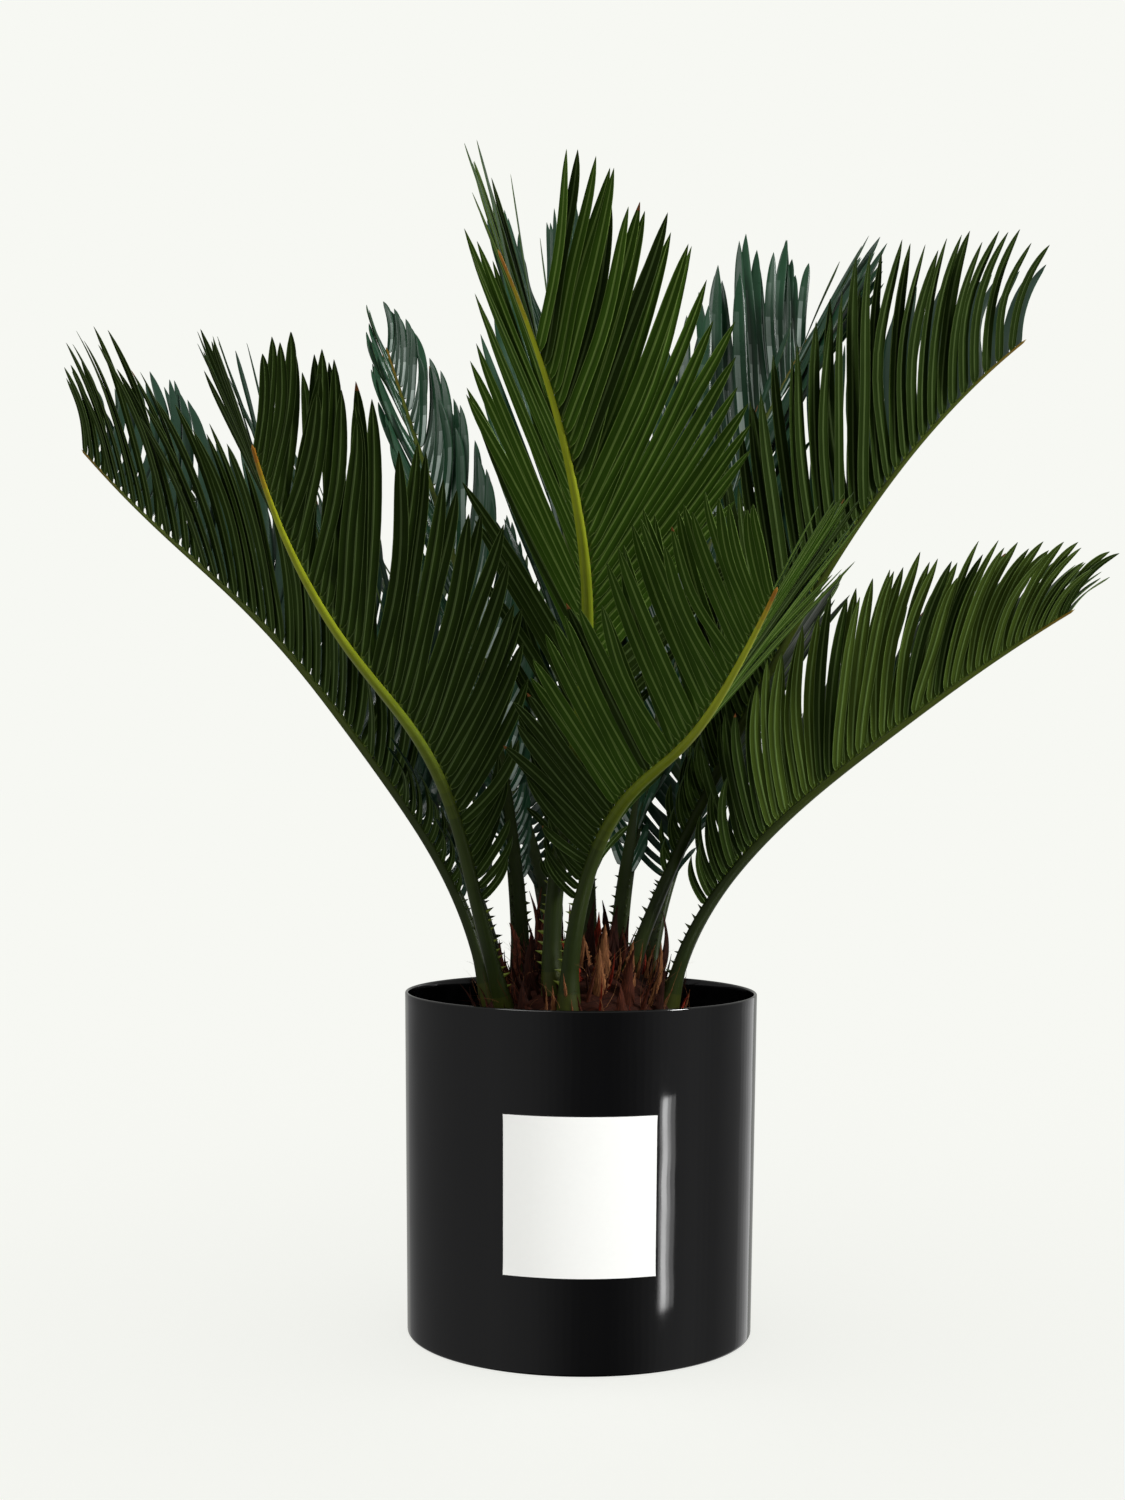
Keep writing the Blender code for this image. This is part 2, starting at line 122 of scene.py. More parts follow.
# Rachis and leaflets, the same for every frond
SWEEP_STEPS = 240
RACHIS_STATIONS = (0.0, 0.06, 0.25, 0.60, 1.0)
RACHIS_WIDTHS = (0.0165, 0.0120, 0.0092, 0.0062, 0.0020)
RACHIS_DEPTH = 0.85
THORN_SEAT = (0.80, 0.42)  # shares of the half width and of the half depth, as the next one
LEAFLET_SEAT = (0.72, 0.30)
STALK_RINGS = 96
STALK_CORNERS = 16
STALK_BANDS = 48
FIRST_THORN = 14 * MM
FIRST_LEAFLET = 64 * MM  # up the stalk, where the first short leaflets follow the thorns
GROWING_ALONG = (-0.15, 0.0, 0.10, 0.25, 0.42)
GROWING_SHARE = (0.16, 0.34, 0.66, 0.92, 1.0)
TIP_DROP = 0.60
TIP_DROP_POWER = 1.3
SPREAD_ALONG = (-0.2, 0.0, 0.15, 0.50, 0.85, 1.0)
MOST_SPREAD = 80
SPREAD_NEAR_TIP = 4
CURL_ALONG = (-0.2, 0.0, 0.15, 0.50, 1.0)
CURL_MORE_AT_FOOT = (30, 20)
DROOP_ALONG = (-0.2, 0.0, 0.12, 0.30)
DROOP = (62, 58, 26, 4)
WIDTH_ALONG = (-0.2, 0.0, 0.15, 0.60, 0.85, 1.0)
WIDTH_SHARE = (0.42, 0.66, 1.0, 0.97, 0.80, 0.62)
LEAF_TILT = 12
UNRULY_BELOW = 0.18  # share of the leafy length below which leaflets grow less and less evenly
UNRULY_RATE = 22
# Painted shade: except on waxed fronds, leaflets below this are deep green, and so is a random share of the
# rest
SHADED_BELOW = 0.20
SHADED_SHARE = 0.12
DRY_SHARE = 0.05

# Stations along a leaflet, and its width at each as a share of the full width
BLADE_OUTLINE = (
    (0.0, 0.40), (0.012, 0.50), (0.03, 0.78), (0.06, 0.95), (0.15, 1.0), (0.24, 1.0), (0.34, 1.0),
    (0.44, 1.0), (0.54, 1.0), (0.63, 0.98), (0.71, 0.94), (0.78, 0.87), (0.84, 0.77), (0.89, 0.64),
    (0.93, 0.48), (0.965, 0.27), (0.99, 0.09),
)
# Section of a leaflet: share of the half width, and height in mm above the plane of the blade
BLADE_UPPER = (
    (-1.0, -0.36), (-0.84, -0.05), (-0.40, 0.07), (0.0, -0.07), (0.40, 0.07), (0.84, -0.05), (1.0, -0.36),
)
BLADE_LOWER = (
    (0.96, -0.68), (0.90, -0.66), (0.80, -0.34), (0.15, -0.36), (0.06, -0.68),
    (-0.06, -0.68), (-0.15, -0.36), (-0.80, -0.34), (-0.90, -0.66), (-0.96, -0.68),
)
PAINTED_SHEEN_FACES = (1, 2, 5)  # of the upper ones, which get a pale painted sheen near the foot of a waxed leaflet
PAINTED_SHEEN_ENDS = ((9, 11), (7, 8), (5, 6))  # ring where each painted sheen ends, the palest one nearest the foot
TEST_STATIONS = (0.05, 0.35, 0.65, 0.86, 1.0)
TEST_HALF_THICKNESS = 0.3 * MM
# A leaflet that would cut another is tried like this: share of its length, degrees more rise and spread
SECOND_TRIES = (
    (1.0, 0, 0), (1.0, 6, 0), (1.0, -6, 0), (1.0, 0, 4), (1.0, 0, -4), (0.92, 11, 0), (0.92, -11, 0),
    (0.82, 0, 0), (0.82, 18, 3), (0.82, -18, 3), (0.66, 0, 0), (0.66, 24, 6), (0.66, -24, 6), (0.5, 0, 0),
)

# Light: the share of the backdrop's light that falls on the set, and grey levels round it by compass angle
AMBIENT = 0.45
FLOOR_ALBEDO = 0.5
CURTAIN_FROM = 120
CURTAIN_TO = 420
CURTAIN_STEP = 5
CURTAIN_RADIUS = 1.7
CURTAIN_HEIGHTS = (-2.5, 0.6)
CURTAIN_LEVELS = (
    (120, 0.30), (140, 0.22), (160, 0.24), (180, 0.28), (215, 0.34), (240, 0.28), (255, 0.18), (270, 0.08),
    (290, 0.06), (305, 0.12), (325, 0.30), (345, 0.34), (365, 0.22), (392, 0.24), (405, 0.6), (420, 1.2),
)
KEY_PLACE = (1.9, -0.75, 1.3)
KEY_AIM_HEIGHT = 0.35
KEY_SIZE = 0.5
STREAK_PLACE = (0.2443, -0.2278, 0.044)
STREAK_HEIGHT = 0.146
# Strips of the streak card: where it starts, its width and how bright it is
STREAK_STRIPS = ((-0.018, 0.009, 3), (-0.009, 0.018, 11), (0.009, 0.012, 5), (0.021, 0.018, 2))
SPOT_PLACE = (-0.35, -1.7, 0.35)
SPOT_AIM = (0.0, -0.11, 0.09)
SPOT_CONE = 9.0
SPOT_BLEND = 0.4
SPOT_RADIUS = 0.05
FILL_PLACE = (-1.1, -1.0, 2.0)
FILL_AIM_HEIGHT = 0.5
FILL_SIZE = 1.2
SKY_PLACE = (0.0, 0.0, 1.9)
SKY_AIM = (0.0, 0.0, 0.5)
SKY_SIZE = (3.2, 3.2)
SKY_STRENGTH = 2.4
FLOOR_REACH = 30.0

# Camera, as the photograph was taken
CAMERA_PLACE = (0.0, -1.308, 0.3496)
CAMERA_TILT = 0.54
CAMERA_PAN = 0.548
CAMERA_ROLL = 0.36
CAMERA_LENS = 50.0
SENSOR_LONG_SIDE = 36.0


class Frond(NamedTuple):
    """One frond. The stalk leans by `lean`, five angles from foot to tip, towards `heading` plus `swing`.

    Shares of the leafy length run from the lowest leaflet, 0, to the tip, 1.
    """

    seat: tuple  # compass angle, and distance from the axis in mm
    heading: float
    swing: float
    lean: tuple
    length: float
    leaflet: float  # length of the longest leaflet
    bare: float  # share of the length that is stalk without leaflets
    rise: float  # angle by which a leaflet rises out of the flat, which folds the frond to a V
    roll: float
    spread: tuple  # angle between leaflet and rachis near the foot, at the middle and at the tip
    curl: tuple  # degrees by which a leaflet bends towards the tip, at the middle and at the tip
    full: float  # share of the leafy length from which the leaflets get shorter
    pitch: tuple  # mm between the leaflets of a row at the foot, the middle and the tip
    blade: float  # width of a leaflet in mm
    shade: int  # which leaf green: 0 deep, 1 olive, 2 fresh, 3 waxed; olive and fresh are partly painted light
    left_end: float = 1.0  # share of the leafy length at which the left-hand row ends


# In the order in which they claim their space: where two would cut, the later one gives way
FRONDS = {
    "front_left": Frond(
        (247, 44), 330, -118, (-4, 17, 31, 28, 28), 0.45, 0.164, 0.30, 40, -13, (50, 32, 22), (6, 6), 0.54,
        (6, 7.8, 9.2), 8.8, 2, 0.83,
    ),
    "left_front": Frond(
        (218, 58), 214, 50, (19, 21, 55, 55, 52), 0.425, 0.162, 0.24, 62, -10, (54, 36, 22), (12, 12), 0.52,
        (7, 9.2, 9), 9.4, 0,
    ),
    "front_right": Frond(
        (262, 55), 312, -26, (0, 29, 66, 55, 54), 0.350, 0.130, 0.24, 44, 5, (62, 48, 34), (9, 14), 0.60,
        (6, 8.2, 7.6), 8.2, 2,
    ),
    "left_low": Frond(
        (185, 57), 171, -6, (10, 34, 40, 50, 44), 0.455, 0.128, 0.24, 53, 6, (67, 53, 58), (22, 30), 0.80,
        (7, 8.8, 6.4), 9.6, 0,
    ),
    "right_high": Frond(
        (341, 31), 350, 6, (20, 26, 29, 37, 51), 0.460, 0.158, 0.26, 53, -4, (52, 46, 54), (8, 34), 0.55,
        (7, 8.2, 10.5), 9.6, 0,
    ),
    "right_low": Frond(
        (342, 57), 348, 6, (11, 38, 51, 54, 59), 0.350, 0.120, 0.20, 56, -10, (63, 53, 38), (14, 40), 0.44,
        (5.6, 5.8, 5.0), 8.0, 1,
    ),
    "back_right": Frond(
        (58, 44), 34, 0, (2, 15, 19, 28, 32), 0.460, 0.165, 0.26, 42, 22, (41, 30, 24), (8, 8), 0.70,
        (7, 8.2, 8), 10.5, 3,
    ),
    "back_left": Frond(
        (140, 50), 135, 2, (2, 12, 20, 25, 24), 0.450, 0.102, 0.26, 47, -24, (46, 32, 28), (26, 32), 0.50,
        (7, 10, 9), 7.4, 3,
    ),
    "back": Frond(
        (84, 48), 104, 0, (4, 12, 19, 24, 28), 0.490, 0.160, 0.26, 52, -14, (40, 26, 12), (12, 12), 0.80,
        (8, 11, 10), 8.2, 3,
    ),
    "right_back": Frond(
        (26, 47), 50, 20, (8, 34, 48, 54, 56), 0.310, 0.120, 0.26, 45, 0, (70, 56, 46), (22, 30), 0.60,
        (6.5, 9, 8), 7.0, 1,
    ),
    "back_low": Frond(
        (107, 57), 112, 8, (12, 36, 52, 56, 58), 0.390, 0.135, 0.24, 45, 0, (70, 56, 48), (22, 30), 0.60,
        (6.5, 9.5, 8), 7.2, 1,
    ),
    "back_side": Frond(
        (160, 54), 158, -6, (10, 30, 42, 50, 52), 0.400, 0.130, 0.24, 45, 0, (68, 54, 46), (22, 30), 0.60,
        (6.5, 9.5, 8), 7.2, 0,
    ),
}

# Fronds whose stalks get the lit yellow copy of the stalk colours, which is painted sunlight; the rest get
# the painted shaded olive copy
PAINTED_SUNLIT_STALKS = ("front_left", "left_front", "front_right")
WAXED = 3

# Numbers of the leaf finishes, in their order in leaf_finishes
UPPER_FACE = (0, 1, 2, 3)
LOWER_FACE = (4, 5, 6, 7)
MIDRIB = (8, 9, 10, 11)
LEAF_FOOT = 12
DRY_TIP = 13
# Pale painted sheen on waxed leaflets
PAINTED_SHEEN = (14, 15, 16)


def linear(colour):
    """The linear values of an sRGB colour such as "#1d3320"."""
    values = [int(colour[start : start + 2], 16) / 255 for start in (1, 3, 5)]
    return tuple(value / 12.92 if value <= 0.04045 else ((value + 0.055) / 1.055) ** 2.4 for value in values)


def colour_setting(name, description, colour):
    """A colour that the user can change, with its default as an sRGB hex value."""
    return FloatVectorProperty(
        name=name, description=description, default=linear(colour), subtype="COLOR", min=0, max=1
    )


def length_setting(name, description, millimetres, least=0):
    """A length that the user can change, with its default and its least value in millimetres."""
    return FloatProperty(
        name=name, description=description, default=millimetres * MM, min=least * MM, unit="LENGTH"
    )


def power_setting(name, description, watts):
    return FloatProperty(name=name, description=description, default=watts, min=0, unit="POWER")


class PotSettings(bpy.types.PropertyGroup):
    """Lacquer, label and soil of the pot."""

    lacquer: colour_setting("Lacquer", "Colour of the sprayed lacquer", "#060607")
    paper: colour_setting("Paper", "Colour of the blank label", "#fafaf8")
    soil: colour_setting("Soil", "Colour of the damp potting soil", "#2b1d14")
    waviness: length_setting("Waviness", "How far the sheet of the pot is from round", 0.05)


class CrownSettings(bpy.types.PropertyGroup):
    """Leaves, stalks and brown scales of the palm."""

    deep: colour_setting("Deep green", "Upper face of the older leaflets", "#173424")
    under: colour_setting("Underside", "Lower face of the leaflets", "#1f2e09")
    # On the rolled edges this lighter green is painted highlight
    rib: colour_setting("Midrib", "Midrib and rolled edges on the lower face", "#44552a")
    # This colour is used only in the lit copy of the stalk colours, which is painted sunlight
    stalk: colour_setting("Stalk", "Stalk and rachis halfway up", "#6c7a18")
    scale: colour_setting("Bud scales", "Brown scales between the stalks", "#6b3420")
    thorn_length: length_setting("Thorn length", "Length of the longest thorns on the stalks", 5.0)
    thorn_pitch: length_setting("Thorn pitch", "Distance between the thorns of a row", 6.0, least=1)
    seed: IntProperty(name="Seed", description="Start of the small irregularities", default=7, min=0)


class StageSettings(bpy.types.PropertyGroup):
    """Floor, backdrop and lights."""

    backdrop: colour_setting("Backdrop", "Colour of the floor and the backdrop", "#f7f8f3")
    key_power: power_setting("Key light", "Power of the soft key light", 45)
    fill_power: power_setting("Fill light", "Power of the high fill light on the left", 22)
    spot_power: power_setting("Label spot", "Power of the narrow light on the label", 28)


def add_node(tree, kind, settings):
    """A new node. A setting that is another node, or its output, is linked, and any other is set."""
    node = tree.nodes.new(kind)
    for name, value in settings.items():
        socket = node.inputs.get(name)
        if isinstance(value, bpy.types.Node):
            value = value.outputs[0]
        if isinstance(value, bpy.types.NodeSocket):
            tree.links.new(value, socket)
        elif socket is None:
            setattr(node, name, value)
        else:
            socket.default_value = (*value, 1.0) if socket.type == "RGBA" else value
    return node


def emptied(owner):
    """The node tree of a material or of the world, with nothing in it."""
    owner.use_nodes = True
    owner.node_tree.nodes.clear()
    return owner.node_tree


def new_material(name):
    material = bpy.data.materials.new(name)
    return material, emptied(material)


def shaded(material, settings, linked):
    """The material with its shader, which has these settings and then what is linked to it."""
    shader = add_node(material.node_tree, "ShaderNodeBsdfPrincipled", settings)
    for name, node in linked.items():
        material.node_tree.links.new(node.outputs[0], shader.inputs[name])
    add_node(material.node_tree, "ShaderNodeOutputMaterial", {"Surface": shader})
    return material


def clouds(tree, size, detail):
    """Noise all through the piece, with patches of that size."""
    place = add_node(tree, "ShaderNodeTexCoord", {}).outputs["Object"]
    return add_node(tree, "ShaderNodeTexNoise", {"Vector": place, "Scale": 1 / size, "Detail": detail})


def streaks(tree, across, along, detail, roughness=0.5):
    """Noise drawn out along the grain of the piece."""
    grain = add_node(tree, "ShaderNodeUVMap", {"uv_map": GRAIN})
    drawn_out = add_node(tree, "ShaderNodeMapping", {"Vector": grain, "Scale": (1 / across, 1 / along, 1)})
    settings = {"Vector": drawn_out, "Scale": 1.0, "Detail": detail, "Roughness": roughness}
    return add_node(tree, "ShaderNodeTexNoise", settings)


def ranged(tree, value, low, high, start, end):
    """The value, brought from between low and high to between start and end."""
    settings = {"Value": value, "From Min": low, "From Max": high, "To Min": start, "To Max": end}
    return add_node(tree, "ShaderNodeMapRange", settings)


def blend(tree, share, first, second, kind="MIX"):
    settings = {"blend_type": kind, "Fac": share, "Color1": first, "Color2": second}
    return add_node(tree, "ShaderNodeMixRGB", settings)


def bump(tree, height, strength, distance, over=None):
    """Relief of that height, on top of another relief or of the bare surface."""
    settings = {"Height": height, "Strength": strength, "Distance": distance}
    return add_node(tree, "ShaderNodeBump", {**settings, "Normal": over} if over else settings)


def mixed(colour, other, share):
    return tuple(a + (b - a) * share for a, b in zip(colour, other))


def scaled(colour, factor):
    return tuple(min(value * factor, 1.0) for value in colour)


def drawn(rng, *ranges):
    """A vector with each part drawn at random from its range."""
    return Vector([rng.uniform(*ends) for ends in ranges])


def new_object(name, data):
    made = bpy.data.objects.new(name, data)
    bpy.context.scene.collection.objects.link(made)
    return made


class Draft:
    """Points, faces and finishes of a piece while it is made."""

    def __init__(self, finishes):
        self.finishes = finishes
        self.points, self.grain, self.faces, self.slots = [], [], [], []

    def add_points(self, points, grain):
        """The numbers of the new points."""
        first = len(self.points)
        self.points.extend(points)
        self.grain.extend(grain)
        return list(range(first, len(self.points)))

    def add_face(self, corners, slot):
        self.faces.append(tuple(corners))
        self.slots.append(slot if isinstance(slot, int) else slot[0])

    def add_tube(self, rings, slots, turned_over=False):
        """A closed skin over rings of equally many points. An end is one point, or gets a flat face.

        `slots` is one number, or a list with a number or a list of numbers for each pair of rings.
        """
        if isinstance(slots, int):
            slots = [slots] * len(rings)
        for low, high, slot in zip(rings, rings[1:], slots):
            count = max(len(low), len(high))
            low, high = (ring * (count // len(ring)) for ring in (low, high))
            for index in range(count):
                after = (index + 1) % count
                corners = tuple(dict.fromkeys((low[index], low[after], high[after], high[index])))
                one = slot if isinstance(slot, int) else slot[index]
                self.add_face(corners[::-1] if turned_over else corners, one)
        for ring, slot, over in ((rings[0], slots[0], not turned_over), (rings[-1], slots[-1], turned_over)):
            if len(ring) > 1:
                self.add_face(ring[::-1] if over else ring, slot)

    def piece(self, name, replaced, smooth_angle=40):
        """Make the object. It rides on the part's one body and stands for the solids it replaces."""
        mesh = bpy.data.meshes.new(name)
        mesh.from_pydata([tuple(point) for point in self.points], [], self.faces)
        for finish in self.finishes:
            mesh.materials.append(finish)
        mesh.polygons.foreach_set("material_index", self.slots)
        layer = mesh.uv_layers.new(name=GRAIN)
        corners = np.empty(len(mesh.loops), np.int32)
        mesh.loops.foreach_get("vertex_index", corners)
        layer.data.foreach_set("uv", np.array(self.grain, np.float32)[corners].ravel())
        mesh.shade_smooth()
        mesh.set_sharp_from_angle(angle=math.radians(smooth_angle))
        mesh.update()
        made = new_object(name, mesh)
        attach(made, "root")
        if replaced:
            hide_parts(*replaced)


def between(value, stations, amounts):
    """The amount at `value`, on straight lines between the stations."""
    for low, high, start, end in zip(stations, stations[1:], amounts, amounts[1:]):
        if value <= high:
            return start + (end - start) * (value - low) / (high - low)
    return amounts[-1]


def smooth_between(share, amounts):
    """The amount at `share` of the way along evenly spaced amounts, on a smooth curve through them."""
    ends = (2 * amounts[0] - amounts[1], *amounts, 2 * amounts[-1] - amounts[-2])
    place = share * (len(amounts) - 1)
    first = min(int(place), len(amounts) - 2)
    t = place - first
    a, b, c, d = ends[first : first + 4]
    return 0.5 * (2 * b + (c - a) * t + (2 * a - 5 * b + 4 * c - d) * t**2 + (3 * b - a - 3 * c + d) * t**3)


def direction(compass):
    angle = math.radians(compass)
    return Vector((math.cos(angle), math.sin(angle), 0))


def turned(first, second, angle):
    """The two directions, turned in their plane from the first towards the second, by radians."""
    cos, sin = math.cos(angle), math.sin(angle)
    return first * cos + second * sin, second * cos - first * sin


def roughness_noise(place, size):
    """Smooth noise from -1 to 1 with bumps of that size."""
    return noise.noise(Vector(place) / size)


# Pot


def lacquer_finish(name, colour, waviness):
    """Black lacquer sprayed on spun steel sheet: mirror-like, with a little orange peel and long waves."""
    material, tree = new_material(name)
    waves = bump(tree, clouds(tree, 40 * MM, 1.0), 1.0, waviness * 6)
    peel = bump(tree, clouds(tree, 1.2 * MM, 1.0), 0.25, 0.01 * MM, waves)
    dust = ranged(tree, clouds(tree, 25 * MM, 4.0), 0.35, 0.75, 0.05, 0.11)
    settings = {"Base Color": colour, "IOR": 1.5, "Roughness": 0.07}
    return shaded(material, settings, {"Normal": peel, "Roughness": dust})


def pot_radius(height):
    """Outer radius of the pot's wall."""
    return POT_BASE_RADIUS + (POT_RIM_RADIUS - POT_BASE_RADIUS) * height / POT_HEIGHT


def arc(centre, radius, start, end):
    """Points of a round corner, from one angle to another in degrees."""
    turns = [math.radians(start + (end - start) * index / ARC_STEPS) for index in range(ARC_STEPS + 1)]
    return [(centre[0] + radius * math.cos(turn), centre[1] + radius * math.sin(turn)) for turn in turns]


def add_pot(settings):
    """The straight drum: floor, heel, wall and rounded rim, turned about its axis."""
    lip = POT_WALL / 2
    rim = (POT_RIM_RADIUS - lip, POT_HEIGHT - lip)
    heel = (pot_radius(POT_HEEL) - POT_HEEL, POT_HEEL)
    profile = [(0, 0), *arc(heel, POT_HEEL, -90, 0)]
    profile += [(pot_radius(POT_HEIGHT * share), POT_HEIGHT * share) for share in (0.03, 0.5, 0.97)]
    profile += arc(rim, lip, 0, 180)
    outside = len(profile) - ARC_STEPS // 2
    for share in (0.97, 0.5, 0.06):
        profile.append((pot_radius(POT_HEIGHT * share) - POT_WALL, POT_HEIGHT * share))
    inner = pot_radius(POT_FLOOR) - POT_WALL
    profile += [(inner, POT_FLOOR + 2 * MM), (inner - 2 * MM, POT_FLOOR), (0, POT_FLOOR)]
    outer_lacquer = lacquer_finish("gloss_lacquer_on_steel", settings.lacquer, settings.waviness)
    inner_lacquer = lacquer_finish("lacquer_inside_pot", scaled(settings.lacquer, 1.6), settings.waviness)
    draft = Draft([outer_lacquer, inner_lacquer])
    rings = []
    for radius, height in profile[1:-1]:
        turns = [index / POT_FACETS for index in range(POT_FACETS)]
        points = [direction(360 * turn) * radius + UP * height for turn in turns]
        rings.append(draft.add_points(points, [(math.tau * turn * radius, height) for turn in turns]))
    start, end = (draft.add_points([(0, 0, height)], [(0, height)]) for height in (0, POT_FLOOR))
    draft.add_tube([start, *rings, end], [0] * outside + [1] * (len(profile) - 1 - outside))
    draft.piece("pot_shell", ["pot"], smooth_angle=50)


def paper_finish(colour):
    """Coated label paper: bright, matt, with the faint cloud of its fibres."""
    material, tree = new_material("coated_label_paper")
    shade = blend(tree, clouds(tree, 3 * MM, 5.0), scaled(colour, 0.97), colour)
    relief = bump(tree, clouds(tree, 0.5 * MM, 3.0), 0.3, 0.02 * MM)
    return shaded(material, {"IOR": 1.48, "Roughness": 0.55}, {"Base Color": shade, "Normal": relief})


def add_label(settings):
    """A sheet that follows the pot, its corners lifted by a hair."""
    low, high = LABEL_BOX[0].z, LABEL_BOX[1].z
    draft = Draft([paper_finish(settings.paper)])
    columns = []
    for column in range(LABEL_COLUMNS + 1):
        x = 2 * column / LABEL_COLUMNS - 1
        sheets = []
        for thickness in (0, LABEL_THICKNESS):
            points, grain = [], []
            for row in range(LABEL_ROWS + 1):
                y = 2 * row / LABEL_ROWS - 1
                height = low + (high - low) * row / LABEL_ROWS
                lift = LABEL_LIFT * abs(x * y) ** LABEL_LIFT_POWER
                radius = pot_radius(height) + LABEL_GAP + lift + thickness
                points.append(direction(270 + LABEL_HALF_ANGLE * x) * radius + UP * height)
                grain.append((x * radius * math.radians(LABEL_HALF_ANGLE), height))
            sheets.append(draft.add_points(points, grain))
        columns.append(sheets[0] + sheets[1][::-1])
    draft.add_tube(columns, 0)
    draft.piece("label_sheet", ["label"])


# Soil


def soil_finish(name, colour, grit):
    """Damp peat and bark: matt, crumbly, from nearly black to brown."""
    material, tree = new_material(name)
    crumbs = clouds(tree, grit, 6.0)
    shade = blend(tree, crumbs, scaled(colour, 0.35), scaled(colour, 1.9))
    relief = bump(tree, crumbs, 0.9, grit / 3)
    return shaded(material, {"IOR": 1.4, "Roughness": 0.9}, {"Base Color": shade, "Normal": relief})


def soil_height(x, y):
    """Height of the crumbled surface, sunk a little towards the wall."""
    sunk = SOIL_EDGE_DROP * max(0.0, (math.hypot(x, y) - SOIL_LEVEL_TO) / SOIL_EDGE)
    clods = roughness_noise((x, y, 0), SOIL_CLOD) + 0.5 * roughness_noise((x, y, 1), SOIL_CLOD / 3)
    return SOIL_BOX[1].z - SOIL_RELIEF - sunk + SOIL_RELIEF * clods


def add_soil(settings, seed):
    """The lumpy surface of the soil, and the bark chips that lie on it."""
    radius = pot_radius(SOIL_BOX[1].z) - POT_WALL - SOIL_GAP
    draft = Draft([soil_finish("damp_potting_soil", settings.soil, 3 * MM)])
    foot = SOIL_BOX[1].z - SOIL_DEPTH
    profile = [(radius - SOIL_BEVEL, foot), (radius, foot + SOIL_BEVEL)]
    profile += [(radius * (1 - index / SOIL_RINGS), None) for index in range(SOIL_RINGS)]
    rings = []
    for reach, fixed in profile:
        points = []
        for index in range(SOIL_FACETS):
            point = direction(360 * index / SOIL_FACETS) * reach
            point.z = soil_height(point.x, point.y) if fixed is None else fixed
            points.append(point)
        rings.append(draft.add_points(points, [(point.x, point.y) for point in points]))
    bottom, top = draft.add_points([(0, 0, foot), (0, 0, soil_height(0, 0))], [(0, 0), (0, 0)])
    draft.add_tube([[bottom], *rings, [top]], 0)
    draft.piece("soil_surface", ["soil"], smooth_angle=60)
    add_chips(settings, random.Random(seed), radius)


def add_chips(settings, rng, radius):
    """Chips of pine bark: small uneven blocks half sunk in the soil."""
    browns = [scaled(settings.soil, 1.6 + 1.3 * index) for index in range(3)]
    draft = Draft([soil_finish(f"bark_chip_{index}", brown, 2 * MM) for index, brown in enumerate(browns)])
    corners = [Vector((x, y, z)) for x in (-1, 1) for y in (-1, 1) for z in (-1, 1)]
    for _ in range(CHIP_COUNT):
        angle = rng.uniform(0, 360)
        reach = radius * math.sqrt(rng.uniform(0.36, 0.94))
        place = direction(angle) * min(reach, radius - 5 * MM)
        place.z = soil_height(place.x, place.y) + 0.3 * MM
        size = drawn(rng, (1.6, 4.4), (1.2, 3.0), (0.6, 1.5)) * MM
        turn = Matrix.Rotation(rng.uniform(0, math.tau), 3, "Z")
        turn = turn @ Matrix.Rotation(rng.uniform(-0.5, 0.5), 3, "X")
        uneven = [drawn(rng, (0.6, 1.1), (0.6, 1.1), (0.7, 1.1)) for _ in corners]
        points = [place + turn @ (corner * size * own) for corner, own in zip(corners, uneven)]
        numbers = draft.add_points(points, [(point.x, point.y) for point in points])
        under, over = ([numbers[index] for index in ring] for ring in ((0, 4, 6, 2), (1, 5, 7, 3)))
        draft.add_tube([under, over], rng.randrange(len(browns)))
    draft.piece("bark_chips", [], smooth_angle=30)


# Trunk, bud scales and loose fibres


def fibre_finish(name, dark, light, across):
    """Dried plant fibre: matt brown, streaked lengthwise, paler where it has worn to threads."""
    material, tree = new_material(name)
    threads = streaks(tree, across, across * 18, 4.0, 0.65)
    shade = blend(tree, ranged(tree, threads, 0.42, 0.72, 0.0, 1.0), dark, light)
    relief = bump(tree, threads, 0.8, across / 2)
    settings = {"IOR": 1.4, "Roughness": 0.85, "Specular IOR Level": 0.2}
    return shaded(material, settings, {"Base Color": shade, "Normal": relief})


def dome_point(compass, reach):
    """A point on the trunk's dome, `reach` from its axis."""
    height = TRUNK_FOOT + TRUNK_RISE * math.sqrt(max(0.0, 1 - (reach / TRUNK_RADIUS) ** 2))
    return direction(compass) * reach + UP * height


def dome_scale(point):
    """1 on the dome, less inside it and more outside."""
    rise = (point.z - TRUNK_FOOT) / TRUNK_RISE
    return math.hypot(rise, math.hypot(point.x, point.y) / TRUNK_RADIUS)


